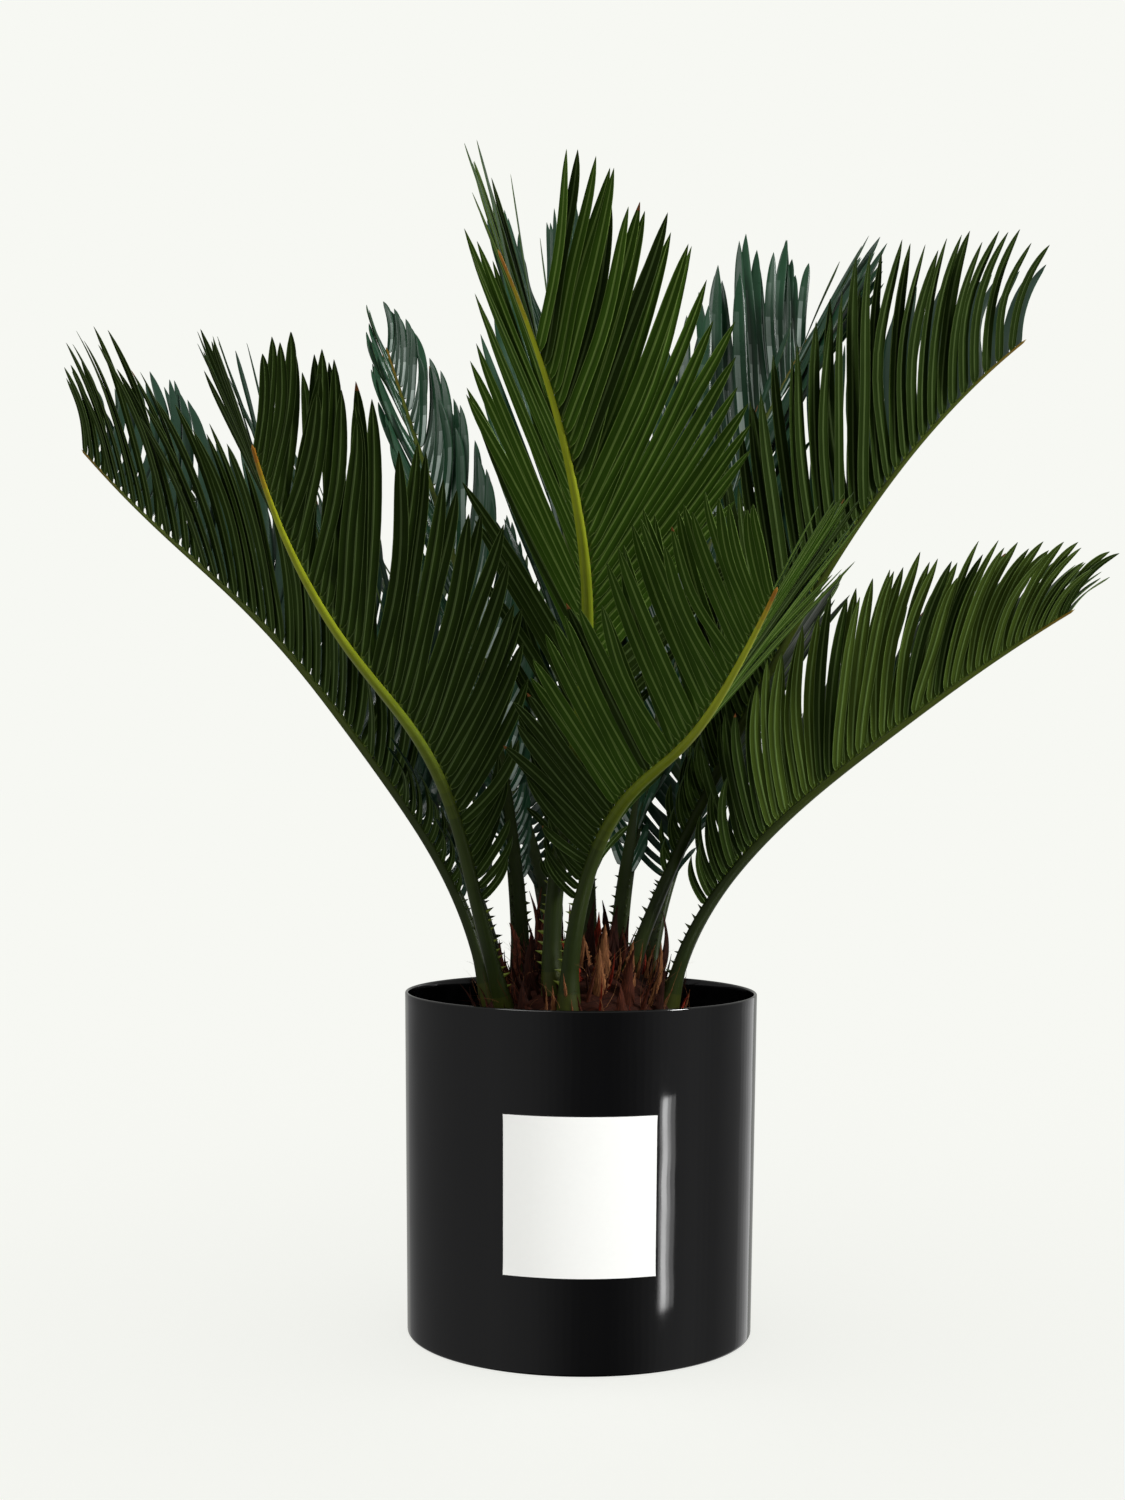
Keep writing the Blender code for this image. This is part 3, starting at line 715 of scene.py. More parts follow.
def add_trunk(settings):
    """The low dome, with the stumps of old leaf bases under a felt of brown fibre."""
    brown = settings.scale
    draft = Draft([fibre_finish("woolly_fibre_felt", scaled(brown, 0.06), scaled(brown, 0.45), 0.7 * MM)])
    rings = []
    for ring in range(TRUNK_RINGS):
        turn = math.pi / 2 * ring / TRUNK_RINGS
        points, grain = [], []
        for facet in range(TRUNK_FACETS):
            compass = 360 * facet / TRUNK_FACETS
            out = direction(compass) * math.cos(turn)
            point = out * TRUNK_RADIUS + UP * (TRUNK_FOOT + TRUNK_RISE * math.sin(turn))
            spiral = math.radians(compass) * 8 + ring * 0.9
            stumps = math.sin(spiral) * math.sin(math.radians(compass) * 5 - ring * 0.7)
            rough = roughness_noise(point, 6 * MM) + 0.5 * roughness_noise(point, 2 * MM)
            relief = TRUNK_RELIEF * (0.5 * stumps + 0.6 * rough) * math.cos(turn * 0.6)
            normal = (out + UP * math.sin(turn)).normalized()
            points.append(point + normal * (relief if ring else 0))
            grain.append((math.radians(compass) * TRUNK_RADIUS * math.cos(turn), TRUNK_RADIUS * turn))
        rings.append(draft.add_points(points, grain))
    bottom, top = draft.add_points([(0, 0, TRUNK_FOOT), (0, 0, TRUNK_FOOT + TRUNK_RISE)], [(0, 0), (0, 0.1)])
    draft.add_tube([[bottom], *rings, [top]], 0)
    draft.piece("trunk_felt", ["trunk"], smooth_angle=70)


def add_scale_leaf(draft, foot, tip, facing, width, slot, rng):
    """A dried scale: a tapering shell, hollow towards the middle of the crown, with a torn edge."""
    along = tip - foot
    length = along.length
    along.normalize()
    outer = (facing - along * facing.dot(along)).normalized()
    across = along.cross(outer)
    bend, twist = rng.uniform(-0.10, 0.14), rng.uniform(-1.4, 1.4)
    torn = [rng.uniform(-0.40, 0.22) for _ in range(2 * SCALE_ROWS + 2)]
    rings = []
    for row in range(SCALE_ROWS + 1):
        share = row / SCALE_ROWS
        half = width / 2 * between(share, *zip(*SCALE_OUTLINE))
        sideways, outward = turned(across, outer, twist * share**2)
        centre = foot + along * (length * share) + outer * (length * bend * math.sin(math.pi * share))
        thick = (1.5 * (1 - share) + 0.25) * MM
        points, grain = [], []
        for face in (1, -1):
            for column in range(SCALE_COLUMNS + 1):
                x = face * (2 * column / SCALE_COLUMNS - 1)
                edge = 1 + torn[2 * row + (x > 0)] * abs(x) ** 3
                hollow = half * 0.75 * (1 - x * x)
                middle = thick * (1 - 0.8 * x * x) / 2 * face
                points.append(centre + sideways * (x * half * edge) + outward * (hollow + middle))
                grain.append((x * half, share * length))
        rings.append(draft.add_points(points, grain))
    draft.add_tube(rings, slot, turned_over=True)


def scale_finishes(brown):
    """From the darkest to the palest scale, and one that is still reddish."""
    red = linear("#a03018")
    kinds = (
        ("umber", scaled(brown, 0.05), scaled(brown, 0.35)),
        ("chestnut", scaled(brown, 0.10), scaled(brown, 0.95)),
        ("straw", scaled(brown, 0.35), linear("#b07a4c")),
        ("red", scaled(red, 0.10), red),
    )
    return [fibre_finish("dried_scale_" + name, dark, light, 0.35 * MM) for name, dark, light in kinds]


def scale_shares(foot):
    """How often each finish comes up there: paler scales on the lit side, as painted sunlight, dark
    elsewhere.
    """
    towards_light = direction(PAINTED_SUNLIT_SIDE).dot(Vector((foot.x, foot.y, 0)).normalized())
    return (2, 3, 4, 2) if towards_light > 0.5 else (6, 2, 0.3, 1)


def add_scales(settings):
    """The bud scales, where their solids stand, and narrow strips of fibre between them."""
    rng = random.Random(settings.seed + 11)
    draft = Draft(scale_finishes(settings.scale))
    names = sorted(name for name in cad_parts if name.startswith("scale_"))
    for name in names:
        corners = [vert.co.copy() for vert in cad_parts[name].data.vertices]
        corners.sort(key=lambda corner: corner.z)
        foot, tip = sum(corners[:5], Vector()) / 5, corners[-1]
        facing = Vector((foot.x, foot.y, 0)) + (tip - foot) * 0.2
        facing.z = 0
        sunk = foot - (tip - foot).normalized() * 4 * MM
        slot = rng.choices(range(4), scale_shares(foot))[0]
        outer = math.hypot(foot.x, foot.y) > 0.8 * TRUNK_RADIUS
        worn = foot.lerp(tip, rng.uniform(0.40, 0.60) if outer else rng.uniform(0.45, 0.82))
        add_scale_leaf(draft, sunk, worn, facing, rng.uniform(9, 15) * MM, slot, rng)
    draft.piece("bud_scales", names, smooth_angle=60)
    strips = Draft(scale_finishes(settings.scale))
    for index in range(STRIP_COUNT):
        compass = index * GOLDEN_ANGLE + rng.uniform(-8, 8)
        reach = TRUNK_RADIUS * 0.97 * math.sqrt((index + 0.5) / STRIP_COUNT)
        foot = dome_point(compass, reach)
        lean = math.radians(rng.uniform(2, 10) + 22 * reach / TRUNK_RADIUS)
        along = direction(compass + rng.uniform(-40, 40)) * math.sin(lean) + UP * math.cos(lean)
        tip = foot + along * (rng.uniform(10, 28) * MM)
        slot = rng.choices(range(4), scale_shares(foot))[0]
        width = rng.uniform(1.4, 4.4) * MM
        add_scale_leaf(strips, foot - along * 3 * MM, tip, direction(compass), width, slot, rng)
    strips.piece("fibre_strips", [], smooth_angle=60)
    add_fibres(settings.scale, rng)


def add_fibres(brown, rng):
    """Loose hairs that have come off the scales, bent and sticking out between the stalks."""
    pale = linear("#9a6a45")
    draft = Draft([
        fibre_finish("loose_fibre_dark", scaled(brown, 0.35), scaled(brown, 0.9), 0.3 * MM),
        fibre_finish("loose_fibre_pale", scaled(pale, 0.6), pale, 0.3 * MM),
    ])
    for _ in range(FIBRE_COUNT):
        compass = rng.uniform(0, 360)
        reach = TRUNK_RADIUS * math.sqrt(rng.uniform(0.1, 0.98))
        point = dome_point(compass, reach) - UP * 2 * MM
        way = (direction(compass + rng.uniform(-70, 70)) * rng.uniform(0.1, 0.9) + UP).normalized()
        bend = drawn(rng, (-1, 1), (-1, 1), (-0.9, 0.3)) * 0.22
        length = rng.uniform(10, 40) * MM
        radius = rng.uniform(0.10, 0.22) * MM
        slot = rng.randrange(2)
        rings = []
        for step in range(FIBRE_STEPS):
            side = way.cross(Vector((0.3, 0.2, 1))).normalized()
            other = way.cross(side)
            thin = radius * (1 - 0.8 * step / FIBRE_STEPS)
            turns = (0, math.tau / 3, 2 * math.tau / 3)
            corners = [point + turned(side, other, turn)[0] * thin for turn in turns]
            rings.append(draft.add_points(corners, [(0, length * step / FIBRE_STEPS)] * 3))
            point = point + way * (length / FIBRE_STEPS)
            way = (way + bend).normalized()
        tip = draft.add_points([point], [(0, length)])
        draft.add_tube([*rings, tip], slot)
    draft.piece("loose_fibres", [], smooth_angle=80)


# Fronds


def leaf_finish(name, colour, roughness, gloss, patch=0.25):
    """Cycad leaf: leathery, with a waxed skin. Fine veins run lengthwise, and older patches are darker."""
    material, tree = new_material(name)
    veins = streaks(tree, 0.45 * MM, 30 * MM, 2.0)
    patches = clouds(tree, 22 * MM, 3.0)
    aged = blend(tree, patches, scaled(colour, 1 - patch), scaled(colour, 1 + patch))
    shade = blend(tree, 0.35, aged, veins, "OVERLAY")
    polish = ranged(tree, patches, 0.3, 0.7, roughness - 0.06, roughness + 0.10)
    relief = bump(tree, veins, 0.5, 0.03 * MM)
    settings = {"IOR": 1.45, "Roughness": roughness, "Specular IOR Level": gloss}
    return shaded(material, settings, {"Base Color": shade, "Roughness": polish, "Normal": relief})


def leaf_finishes(settings):
    """Upper faces, undersides and midribs in four shades, then the foot, the dry tip and the pale painted
    sheen.
    """
    olive, fresh, wax = linear("#384815"), linear("#2f480f"), linear("#1c3d28")
    names = ("deep", "olive", "fresh", "waxed")
    deep, under, rib = settings.deep, settings.under, settings.rib
    # Olive and fresh are partly the fronds' own greens and partly painted light, lighter for fronds the
    # light reaches
    upper = (deep, mixed(deep, olive, 0.5), mixed(deep, fresh, 0.45))
    lower = (under, olive, fresh, mixed(under, wax, 0.3))
    ribs = (rib, linear("#5e743a"), linear("#5f7635"), mixed(rib, wax, 0.2))
    finishes = [leaf_finish(f"leaf_upper_{name}", tone, 0.34, 0.4) for name, tone in zip(names, upper)]
    finishes.append(leaf_finish("leaf_upper_waxed", wax, 0.30, 0.3))
    finishes += [leaf_finish(f"leaf_under_{name}", tone, 0.55, 0.05) for name, tone in zip(names, lower)]
    finishes += [leaf_finish(f"midrib_{name}", tone, 0.45, 0.15, 0.15) for name, tone in zip(names, ribs)]
    finishes.append(leaf_finish("leaf_foot", linear("#465616"), 0.45, 0.25, 0.15))
    finishes.append(leaf_finish("leaf_tip_dry", linear("#7a4a22"), 0.6, 0.2, 0.3))
    # Painted sheen: pale colours that stand for the sky's reflection near the foot of waxed leaflets
    for number, share in enumerate((0.06, 0.28, 0.75)):
        colour = mixed(wax, linear("#bccbc3"), share)
        finishes.append(leaf_finish(f"leaf_painted_sheen_{number}", colour, 0.28, 0.3 + 0.7 * share, 0.2))
    return finishes


def stalk_finishes(settings, painted_sunlit):
    """Bands of colour from foot to tip, with painted light: yellow on the lit rachis, olive on the shaded
    one.
    """
    along = (0.0, 0.03, 0.08, 0.28, 0.46, 0.90, 1.0)
    foot, dark, tip = linear("#363a10"), linear("#212c0b"), linear("#9a5c18")
    # Lit and shaded copies of the same colours: painted sunlight and painted shade
    if painted_sunlit:
        lower, middle, upper = linear("#2f3c0e"), settings.stalk, linear("#9ca41c")
    else:
        lower, middle, upper = linear("#25300c"), linear("#38440f"), linear("#46520f")
        tip = mixed(upper, tip, 0.4)
    colours = (foot, mixed(foot, dark, 0.85), dark, lower, middle, upper, tip)
    tone = "yellow" if painted_sunlit else "olive"
    finishes = []
    for band in range(STALK_BANDS):
        share = (band + 0.5) / STALK_BANDS
        colour = tuple(between(share, along, [one[channel] for one in colours]) for channel in range(3))
        finishes.append(leaf_finish(f"stalk_skin_{tone}_{band}", colour, 0.42, 0.25, 0.2))
    # The thorns also get a painted lit colour and a painted shaded one
    thorn = linear("#6a7626") if painted_sunlit else linear("#2f3a14")
    finishes.append(leaf_finish(f"thorn_{tone}", thorn, 0.45, 0.3, 0.2))
    return finishes


class Station(NamedTuple):
    """A place on the stalk: its centre, the way to the tip, the upper face's way out and the right side."""

    centre: Vector
    along: Vector
    up: Vector
    side: Vector


def sweep(frond):
    """Evenly spaced stations along the middle of the stalk and rachis."""
    stations = []
    centre = dome_point(frond.seat[0], frond.seat[1] * MM)
    roll = math.radians(frond.roll)
    previous = None
    for index in range(SWEEP_STEPS + 1):
        share = index / SWEEP_STEPS
        lean = math.radians(smooth_between(share, frond.lean))
        away = direction(frond.heading + frond.swing * share)
        along, down = turned(UP, away, lean)
        side = along.cross(-down)
        if previous:
            centre = centre + (along + previous) * (frond.length / SWEEP_STEPS / 2)
        previous = along
        stations.append(Station(centre.copy(), along, *turned(-down, side, roll)))
    return stations


def station_at(stations, share):
    place = min(max(share, 0), 1) * SWEEP_STEPS
    first = min(int(place), SWEEP_STEPS - 1)
    t = place - first
    a, b = stations[first], stations[first + 1]
    return Station(*(one.lerp(other, t) for one, other in zip(a, b)))


def rachis_half(share):
    return between(share, RACHIS_STATIONS, RACHIS_WIDTHS) / 2


def seat_on_rachis(here, share, side, seat):
    """Where something grows on that side of the upper face."""
    half = rachis_half(share)
    return here.centre + here.side * (side * half * seat[0]) + here.up * (half * RACHIS_DEPTH * seat[1])


def stalk_section():
    """Corners of the stalk's section: flattened above, keeled below, in half widths and half depths."""
    corners = []
    for index in range(STALK_CORNERS):
        turn = math.tau * index / STALK_CORNERS
        x, y = math.cos(turn), math.sin(turn)
        corners.append((math.copysign(abs(x) ** 0.8, x), 0.62 * y**0.6 if y > 0 else -(abs(y) ** 1.15)))
    return corners


def add_stalk(draft, frond, stations):
    """The stalk and rachis as one closed tube, from inside the trunk to the tip."""
    foot = next(index for index, here in enumerate(stations) if dome_scale(here.centre) > 1)
    start = foot / SWEEP_STEPS
    root = stations[foot].centre - stations[foot].along * STALK_SINK
    section = stalk_section()
    rings, bands = [], []
    for ring in range(STALK_RINGS + 1):
        share = start + (1 - start) * (ring / STALK_RINGS)
        here = station_at(stations, share)
        centre = root if ring == 0 else here.centre
        half = rachis_half(share)
        corners = [centre + here.side * (half * x) + here.up * (half * RACHIS_DEPTH * y) for x, y in section]
        rings.append(draft.add_points(corners, [(half * x, share * frond.length) for x, _ in section]))
        bands.append(min(int(share * STALK_BANDS), STALK_BANDS - 1))
    end = stations[-1]
    tip = draft.add_points([end.centre + end.along * 3 * MM], [(0, frond.length)])
    draft.add_tube([*rings, tip], bands, turned_over=True)
    return start


def add_thorns(draft, frond, stations, start, settings, rng):
    """Two rows of short thorns on the edges of the bare stalk, the last ones turning into leaflets."""
    share = start + FIRST_THORN / frond.length
    while share * frond.length < FIRST_LEAFLET:
        for side in (-1, 1):
            here = station_at(stations, share + rng.uniform(-1, 1) * MM / frond.length)
            size = settings.thorn_length * rng.uniform(0.55, 1.0)
            root = seat_on_rachis(here, share, side, THORN_SEAT)
            way = here.side * (side * rng.uniform(0.35, 0.7)) + here.up * rng.uniform(0.8, 1.0)
            way = (way + here.along * rng.uniform(-0.2, 0.35)).normalized()
            across = here.along.cross(way).normalized()
            corners = []
            for x, y in ((-1, 0), (0, -1), (1, 0), (0, 1)):
                foot = root + here.along * (x * size * 0.34) + across * (y * size * 0.16)
                corners.append(foot - way * 0.8 * MM)
            ring = draft.add_points(corners, [(0, 0)] * 4)
            point = draft.add_points([root + way * size + here.along * (size * 0.15)], [(0, size)])
            draft.add_tube([ring, point], STALK_BANDS)
        share += settings.thorn_pitch / frond.length


def leaflet_places(frond, offset):
    """Shares of the leafy length at which a row's leaflets grow, close at the foot and wider further up.

    They are negative below the leafy part, where the first short ones grow.
    """
    leafy = (1 - frond.bare) * frond.length
    pitches = (*frond.pitch[:2], *frond.pitch[1:])
    places = []
    along = offset * frond.pitch[0] * MM + min(0.0, FIRST_LEAFLET - frond.bare * frond.length)
    while along < leafy - 1.5 * MM:
        places.append(along / leafy)
        along += between(max(along, 0) / leafy, (0, 0.35, 0.7, 1), pitches) * MM
    return places


def length_share(frond, along_rachis):
    """Length of a leaflet there, as a share of the longest: growing, full, then shorter to the tip."""
    if along_rachis < frond.full:
        return between(along_rachis, GROWING_ALONG, GROWING_SHARE)
    past = (along_rachis - frond.full) / (1 - frond.full)
    return 1 - TIP_DROP * past**TIP_DROP_POWER


class Leaflet(NamedTuple):
    """How one leaflet grows. Angles are in degrees."""

    here: Station
    root: Vector
    side: int
    length: float
    width: float
    spread: float
    curl: float
    late: float  # power by which the curl comes late
    sway: float  # S-bend in the plane of the blade
    rise: float
    droop: float
    tilt: float
    twist: float


def leaflet_axes(leaf, t):
    """The leaflet's own way, the way to its far edge and the way out of its upper face."""
    curled = leaf.curl * (1 + leaf.late) / 2 * t**leaf.late
    angle = math.radians(leaf.spread - curled + leaf.sway * math.sin(math.tau * t))
    rise = math.radians(leaf.rise - leaf.droop * t * t)
    out, normal = turned(leaf.here.side * leaf.side, leaf.here.up, rise)
    way, back = turned(leaf.here.along, out, angle)
    return way, *turned(-back, normal, math.radians(leaf.tilt + leaf.twist * t))


def leaflet_frames(leaf, stations):
    """Centre, way across and way out of the upper face at each station."""
    frames = []
    centre, before = leaf.root.copy(), 0.0
    for t in stations:
        way = leaflet_axes(leaf, (before + t) / 2)[0]
        centre = centre + way * (leaf.length * (t - before))
        _, across, normal = leaflet_axes(leaf, t)
        frames.append((centre, across, normal))
        before = t
    return frames


def leaflet_proxy(leaf):
    """Points and faces of a plain four-sided leaflet, to test what it would cut."""
    points = []
    half = leaf.width / 2 * 0.9
    for centre, across, normal in leaflet_frames(leaf, TEST_STATIONS)[:-1]:
        for x, y in ((-1, -1), (1, -1), (1, 1), (-1, 1)):
            points.append(centre + across * (x * half) + normal * (y * TEST_HALF_THICKNESS - 0.2 * MM))
        half = min(half, leaf.width / 2 * 0.8)
    points.append(leaflet_frames(leaf, TEST_STATIONS)[-1][0])
    rings = len(TEST_STATIONS) - 1
    faces = []
    for ring in range(rings - 1):
        for index in range(4):
            after = (index + 1) % 4
            faces.append((ring * 4 + index, ring * 4 + after, ring * 4 + 4 + after, ring * 4 + 4 + index))
    last = (rings - 1) * 4
    faces += [(last + index, last + (index + 1) % 4, len(points) - 1) for index in range(4)]
    return points, faces


class Space:
    """What already fills the crown, to ask whether a new leaflet would cut it."""

    def __init__(self):
        self.trees = []
        self.owners = []
        self.lows = np.empty((0, 3))
        self.highs = np.empty((0, 3))

    def add(self, owner, points, faces):
        places = np.array([tuple(point) for point in points])
        self.trees.append(BVHTree.FromPolygons(points, faces))
        self.owners.append(owner)
        self.lows = np.vstack([self.lows, places.min(0)])
        self.highs = np.vstack([self.highs, places.max(0)])

    def is_free(self, owner, points, faces):
        places = np.array([tuple(point) for point in points])
        near = (self.lows <= places.max(0)).all(1) & (self.highs >= places.min(0)).all(1)
        tree = BVHTree.FromPolygons(points, faces)
        for index in np.flatnonzero(near):
            if self.owners[index] != owner and tree.overlap(self.trees[index]):
                return False
        return True


def blade_slots(shade, dry, rng):
    """The finish of each face round the section, for each ring of faces from the foot to the tip."""
    rib, under = [MIDRIB[shade]], [LOWER_FACE[shade]]
    upper = [UPPER_FACE[shade]] * (len(BLADE_UPPER) - 1)
    # The rolled edges take the midrib's lighter green: painted highlight along the edges
    near = upper + rib * 3 + under + [LEAF_FOOT] * 3 + under + rib * 3
    blade = upper + rib * 2 + under * 2 + rib * 3 + under * 2 + rib * 2
    rings = [[LEAF_FOOT] * len(blade), near] + [blade] * (len(BLADE_OUTLINE) - 2)
    # Painted sheen: pale stripes on some upper faces near the foot, for the reflection of the sky
    if shade == WAXED:
        for finish, ends in zip(PAINTED_SHEEN, [rng.randint(*ends) for ends in PAINTED_SHEEN_ENDS]):
            for ring in range(1, ends):
                rings[ring] = [finish if index in PAINTED_SHEEN_FACES else one for index, one in enumerate(blade)]
    if dry:
        rings[-2:] = [[DRY_TIP] * len(blade)] * 2
    return rings


def add_blade(draft, leaf, slots):
    """The leaflet itself: a closed thin blade with rolled edges, a groove above and a midrib below."""
    section = BLADE_UPPER + BLADE_LOWER
    frames = leaflet_frames(leaf, [*(share for share, _ in BLADE_OUTLINE), 1.0])
    rings = []
    for (centre, across, normal), (share, width_share) in zip(frames, BLADE_OUTLINE):
        half = leaf.width / 2 * width_share
        thick = min(1.0, 0.25 + width_share) * MM
        points = [centre + across * (x * half) + normal * (y * thick) for x, y in section]
        rings.append(draft.add_points(points, [(x * half, share * leaf.length) for x, _ in section]))
    end = draft.add_points([frames[-1][0] - frames[-1][2] * 0.2 * MM], [(0, leaf.length)])
    draft.add_tube([*rings, end], slots, turned_over=leaf.side > 0)


def plan_leaflet(frond, stations, along_rachis, side, rng):
    """A leaflet of the row on that side, with its own small irregularities."""
    share = frond.bare + (1 - frond.bare) * along_rachis
    here = station_at(stations, share)
    near_foot, middle, tip = frond.spread
    at_foot = min(MOST_SPREAD, near_foot * 1.06)
    spreads = (at_foot, at_foot, near_foot, middle, (middle + tip) / 2 + SPREAD_NEAR_TIP, tip)
    unruly = 1 + UNRULY_RATE * max(0.0, UNRULY_BELOW - along_rachis)
    spread = between(along_rachis, SPREAD_ALONG, spreads) + rng.gauss(0, 0.7) * unruly
    middle_curl, tip_curl = frond.curl
    curls = (*(middle_curl + more for more in CURL_MORE_AT_FOOT), middle_curl, middle_curl, tip_curl)
    curl = between(along_rachis, CURL_ALONG, curls) + rng.gauss(0, 1.6) * unruly
    length = frond.leaflet * length_share(frond, along_rachis) * (1 + rng.uniform(-0.08, 0.04))
    width = frond.blade * between(along_rachis, WIDTH_ALONG, WIDTH_SHARE) * MM
    return Leaflet(
        here=here,
        root=seat_on_rachis(here, share, side, LEAFLET_SEAT),
        side=side,
        length=length,
        width=width * rng.uniform(0.94, 1.05),
        spread=spread,
        curl=curl,
        late=1.0 + 0.6 * along_rachis,
        sway=rng.gauss(0, 1.2 + 2.4 * max(along_rachis, 0)),
        rise=frond.rise + rng.gauss(0, 1.5) * unruly,
        droop=between(along_rachis, DROOP_ALONG, DROOP) + rng.gauss(0, 2.5),
        tilt=LEAF_TILT + rng.gauss(0, 2.0),
        twist=rng.gauss(0, 12.0),
    )


def add_leaflets(draft, name, frond, stations, space, rng):
    """Grow both rows. A leaflet that would cut what is there is turned, shortened or left out."""
    for side in (1, -1):
        for along_rachis in leaflet_places(frond, 0.5 if side > 0 else 1.0):
            plan = plan_leaflet(frond, stations, along_rachis, side, rng)
            dry = rng.random() < DRY_SHARE
            # Painted shade: deep green for the leaflets low in the crown and for a random share of the
            # others
            shaded_one = along_rachis < SHADED_BELOW or rng.random() < SHADED_SHARE
            shade = 0 if shaded_one and frond.shade != WAXED else frond.shade
            if side < 0 and along_rachis > frond.left_end:
                continue
            for longer, more_rise, more_spread in SECOND_TRIES:
                leaf = plan._replace(
                    length=plan.length * longer, rise=plan.rise + more_rise, spread=plan.spread + more_spread
                )
                points, faces = leaflet_proxy(leaf)
                if space.is_free("stalk_" + name, points, faces):
                    space.add(name, points, faces)
                    add_blade(draft, leaf, blade_slots(shade, dry, rng))
                    break


def add_fronds(settings):
    greens = leaf_finishes(settings)
    skins = {painted_sunlit: stalk_finishes(settings, painted_sunlit) for painted_sunlit in (True, False)}
    space = Space()
    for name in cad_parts:
        if name.startswith("scale_"):
            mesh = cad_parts[name].data
            points = [vert.co.copy() for vert in mesh.vertices]
            space.add("scales", points, [tuple(face.vertices) for face in mesh.polygons])
    swept = {name: sweep(frond) for name, frond in FRONDS.items()}
    for name, frond in FRONDS.items():
        rng = random.Random(f"{name} {settings.seed}")
        # Painted light: the lit or the shaded copy of the stalk colours
        draft = Draft(skins[name in PAINTED_SUNLIT_STALKS])
        start = add_stalk(draft, frond, swept[name])
        space.add("stalk_" + name, draft.points, draft.faces)
        add_thorns(draft, frond, swept[name], start, settings, rng)
        draft.piece("stalk_" + name, ["frond_" + name], smooth_angle=50)
    for name, frond in FRONDS.items():
        rng = random.Random(f"leaflets {name} {settings.seed}")
        draft = Draft(greens)
        add_leaflets(draft, name, frond, swept[name], space, rng)
        draft.piece("leaflets_" + name, ["frond_" + name], smooth_angle=45)


# Stage


def add_plane(name, corners, material):
    """A flat face of the set, which isn't part of the plant."""
    mesh = bpy.data.meshes.new(name)
    mesh.from_pydata(corners, [], [tuple(range(len(corners)))])
    mesh.materials.append(material)
    made = new_object(name, mesh)
    return made


def floor_finish(colour):
    """Matt paper floor. Its own faint light makes up for what paper swallows, so it meets the backdrop."""
    settings = {
        "Base Color": (FLOOR_ALBEDO, FLOOR_ALBEDO, FLOOR_ALBEDO),
        "Roughness": 1.0,
        "Specular IOR Level": 0.0,
        "Emission Color": colour,
        "Emission Strength": 1 - FLOOR_ALBEDO * AMBIENT,
    }
    return shaded(new_material("paper_floor")[0], settings, {})


def glow(name, level, strength=1.0):
    """Plain grey light of that level."""
    material, tree = new_material(name)
    light = add_node(tree, "ShaderNodeEmission", {"Color": (level, level, level), "Strength": strength})
    add_node(tree, "ShaderNodeOutputMaterial", {"Surface": light})
    return material


def only_in_reflections(card):
    for ray in ("camera", "diffuse", "shadow", "transmission", "volume_scatter"):
        setattr(card, "visible_" + ray, False)


def add_light(name, kind, place, aim, power):
    data = bpy.data.lights.new(name, kind)
    data.energy = power
    made = new_object(name, data)
    made.location = place
    made.rotation_mode = "QUATERNION"
    made.rotation_quaternion = (Vector(aim) - Vector(place)).to_track_quat("-Z", "Y")
    made.visible_camera = False
    return made


def add_disk_light(name, place, height, size, power):
    """A round soft light that faces the plant at that height."""
    light = add_light(name, "AREA", place, (0, 0, height), power)
    light.data.shape = "DISK"
    light.data.size = size
    return light


def keep_off(light, thing):
    """The light leaves this one thing out."""
    left_out = bpy.data.collections.new("without_" + light.name)
    left_out.objects.link(thing)
    left_out.collection_objects[0].light_linking.link_state = "EXCLUDE"
    light.light_linking.receiver_collection = left_out


def add_curtain():
    """Grey cloths round and under the set, which shade the lacquer and the leaves only by reflection."""
    low, high = CURTAIN_HEIGHTS
    starts = range(CURTAIN_FROM, CURTAIN_TO, CURTAIN_STEP)
    for number, compass in enumerate(starts):
        cloth = glow(f"grey_cloth_{number}", between(compass + CURTAIN_STEP / 2, *zip(*CURTAIN_LEVELS)))
        first, second = (direction(turn) * CURTAIN_RADIUS for turn in (compass, compass + CURTAIN_STEP))
        corners = [(p.x, p.y, z) for p, z in ((first, low), (second, low), (second, high), (first, high))]
        only_in_reflections(add_plane(f"curtain_{number}", corners, cloth))
    corners = [direction(compass) * CURTAIN_RADIUS + UP * low for compass in range(0, 360, 15)]
    only_in_reflections(add_plane("black_ground", corners, glow("black_cloth", 0)))


def add_card(name, place, aim, size, strength):
    """A white card that faces the plant and is seen only in reflections."""
    place = Vector(place)
    back = (place - Vector(aim)).normalized()
    side = back.cross(UP).normalized()
    half, tall = side * (size[0] / 2), side.cross(back) * (size[1] / 2)
    corners = [place - half - tall, place + half - tall, place + half + tall, place - half + tall]
    only_in_reflections(add_plane(name, corners, glow(name + "_light", 1, strength)))


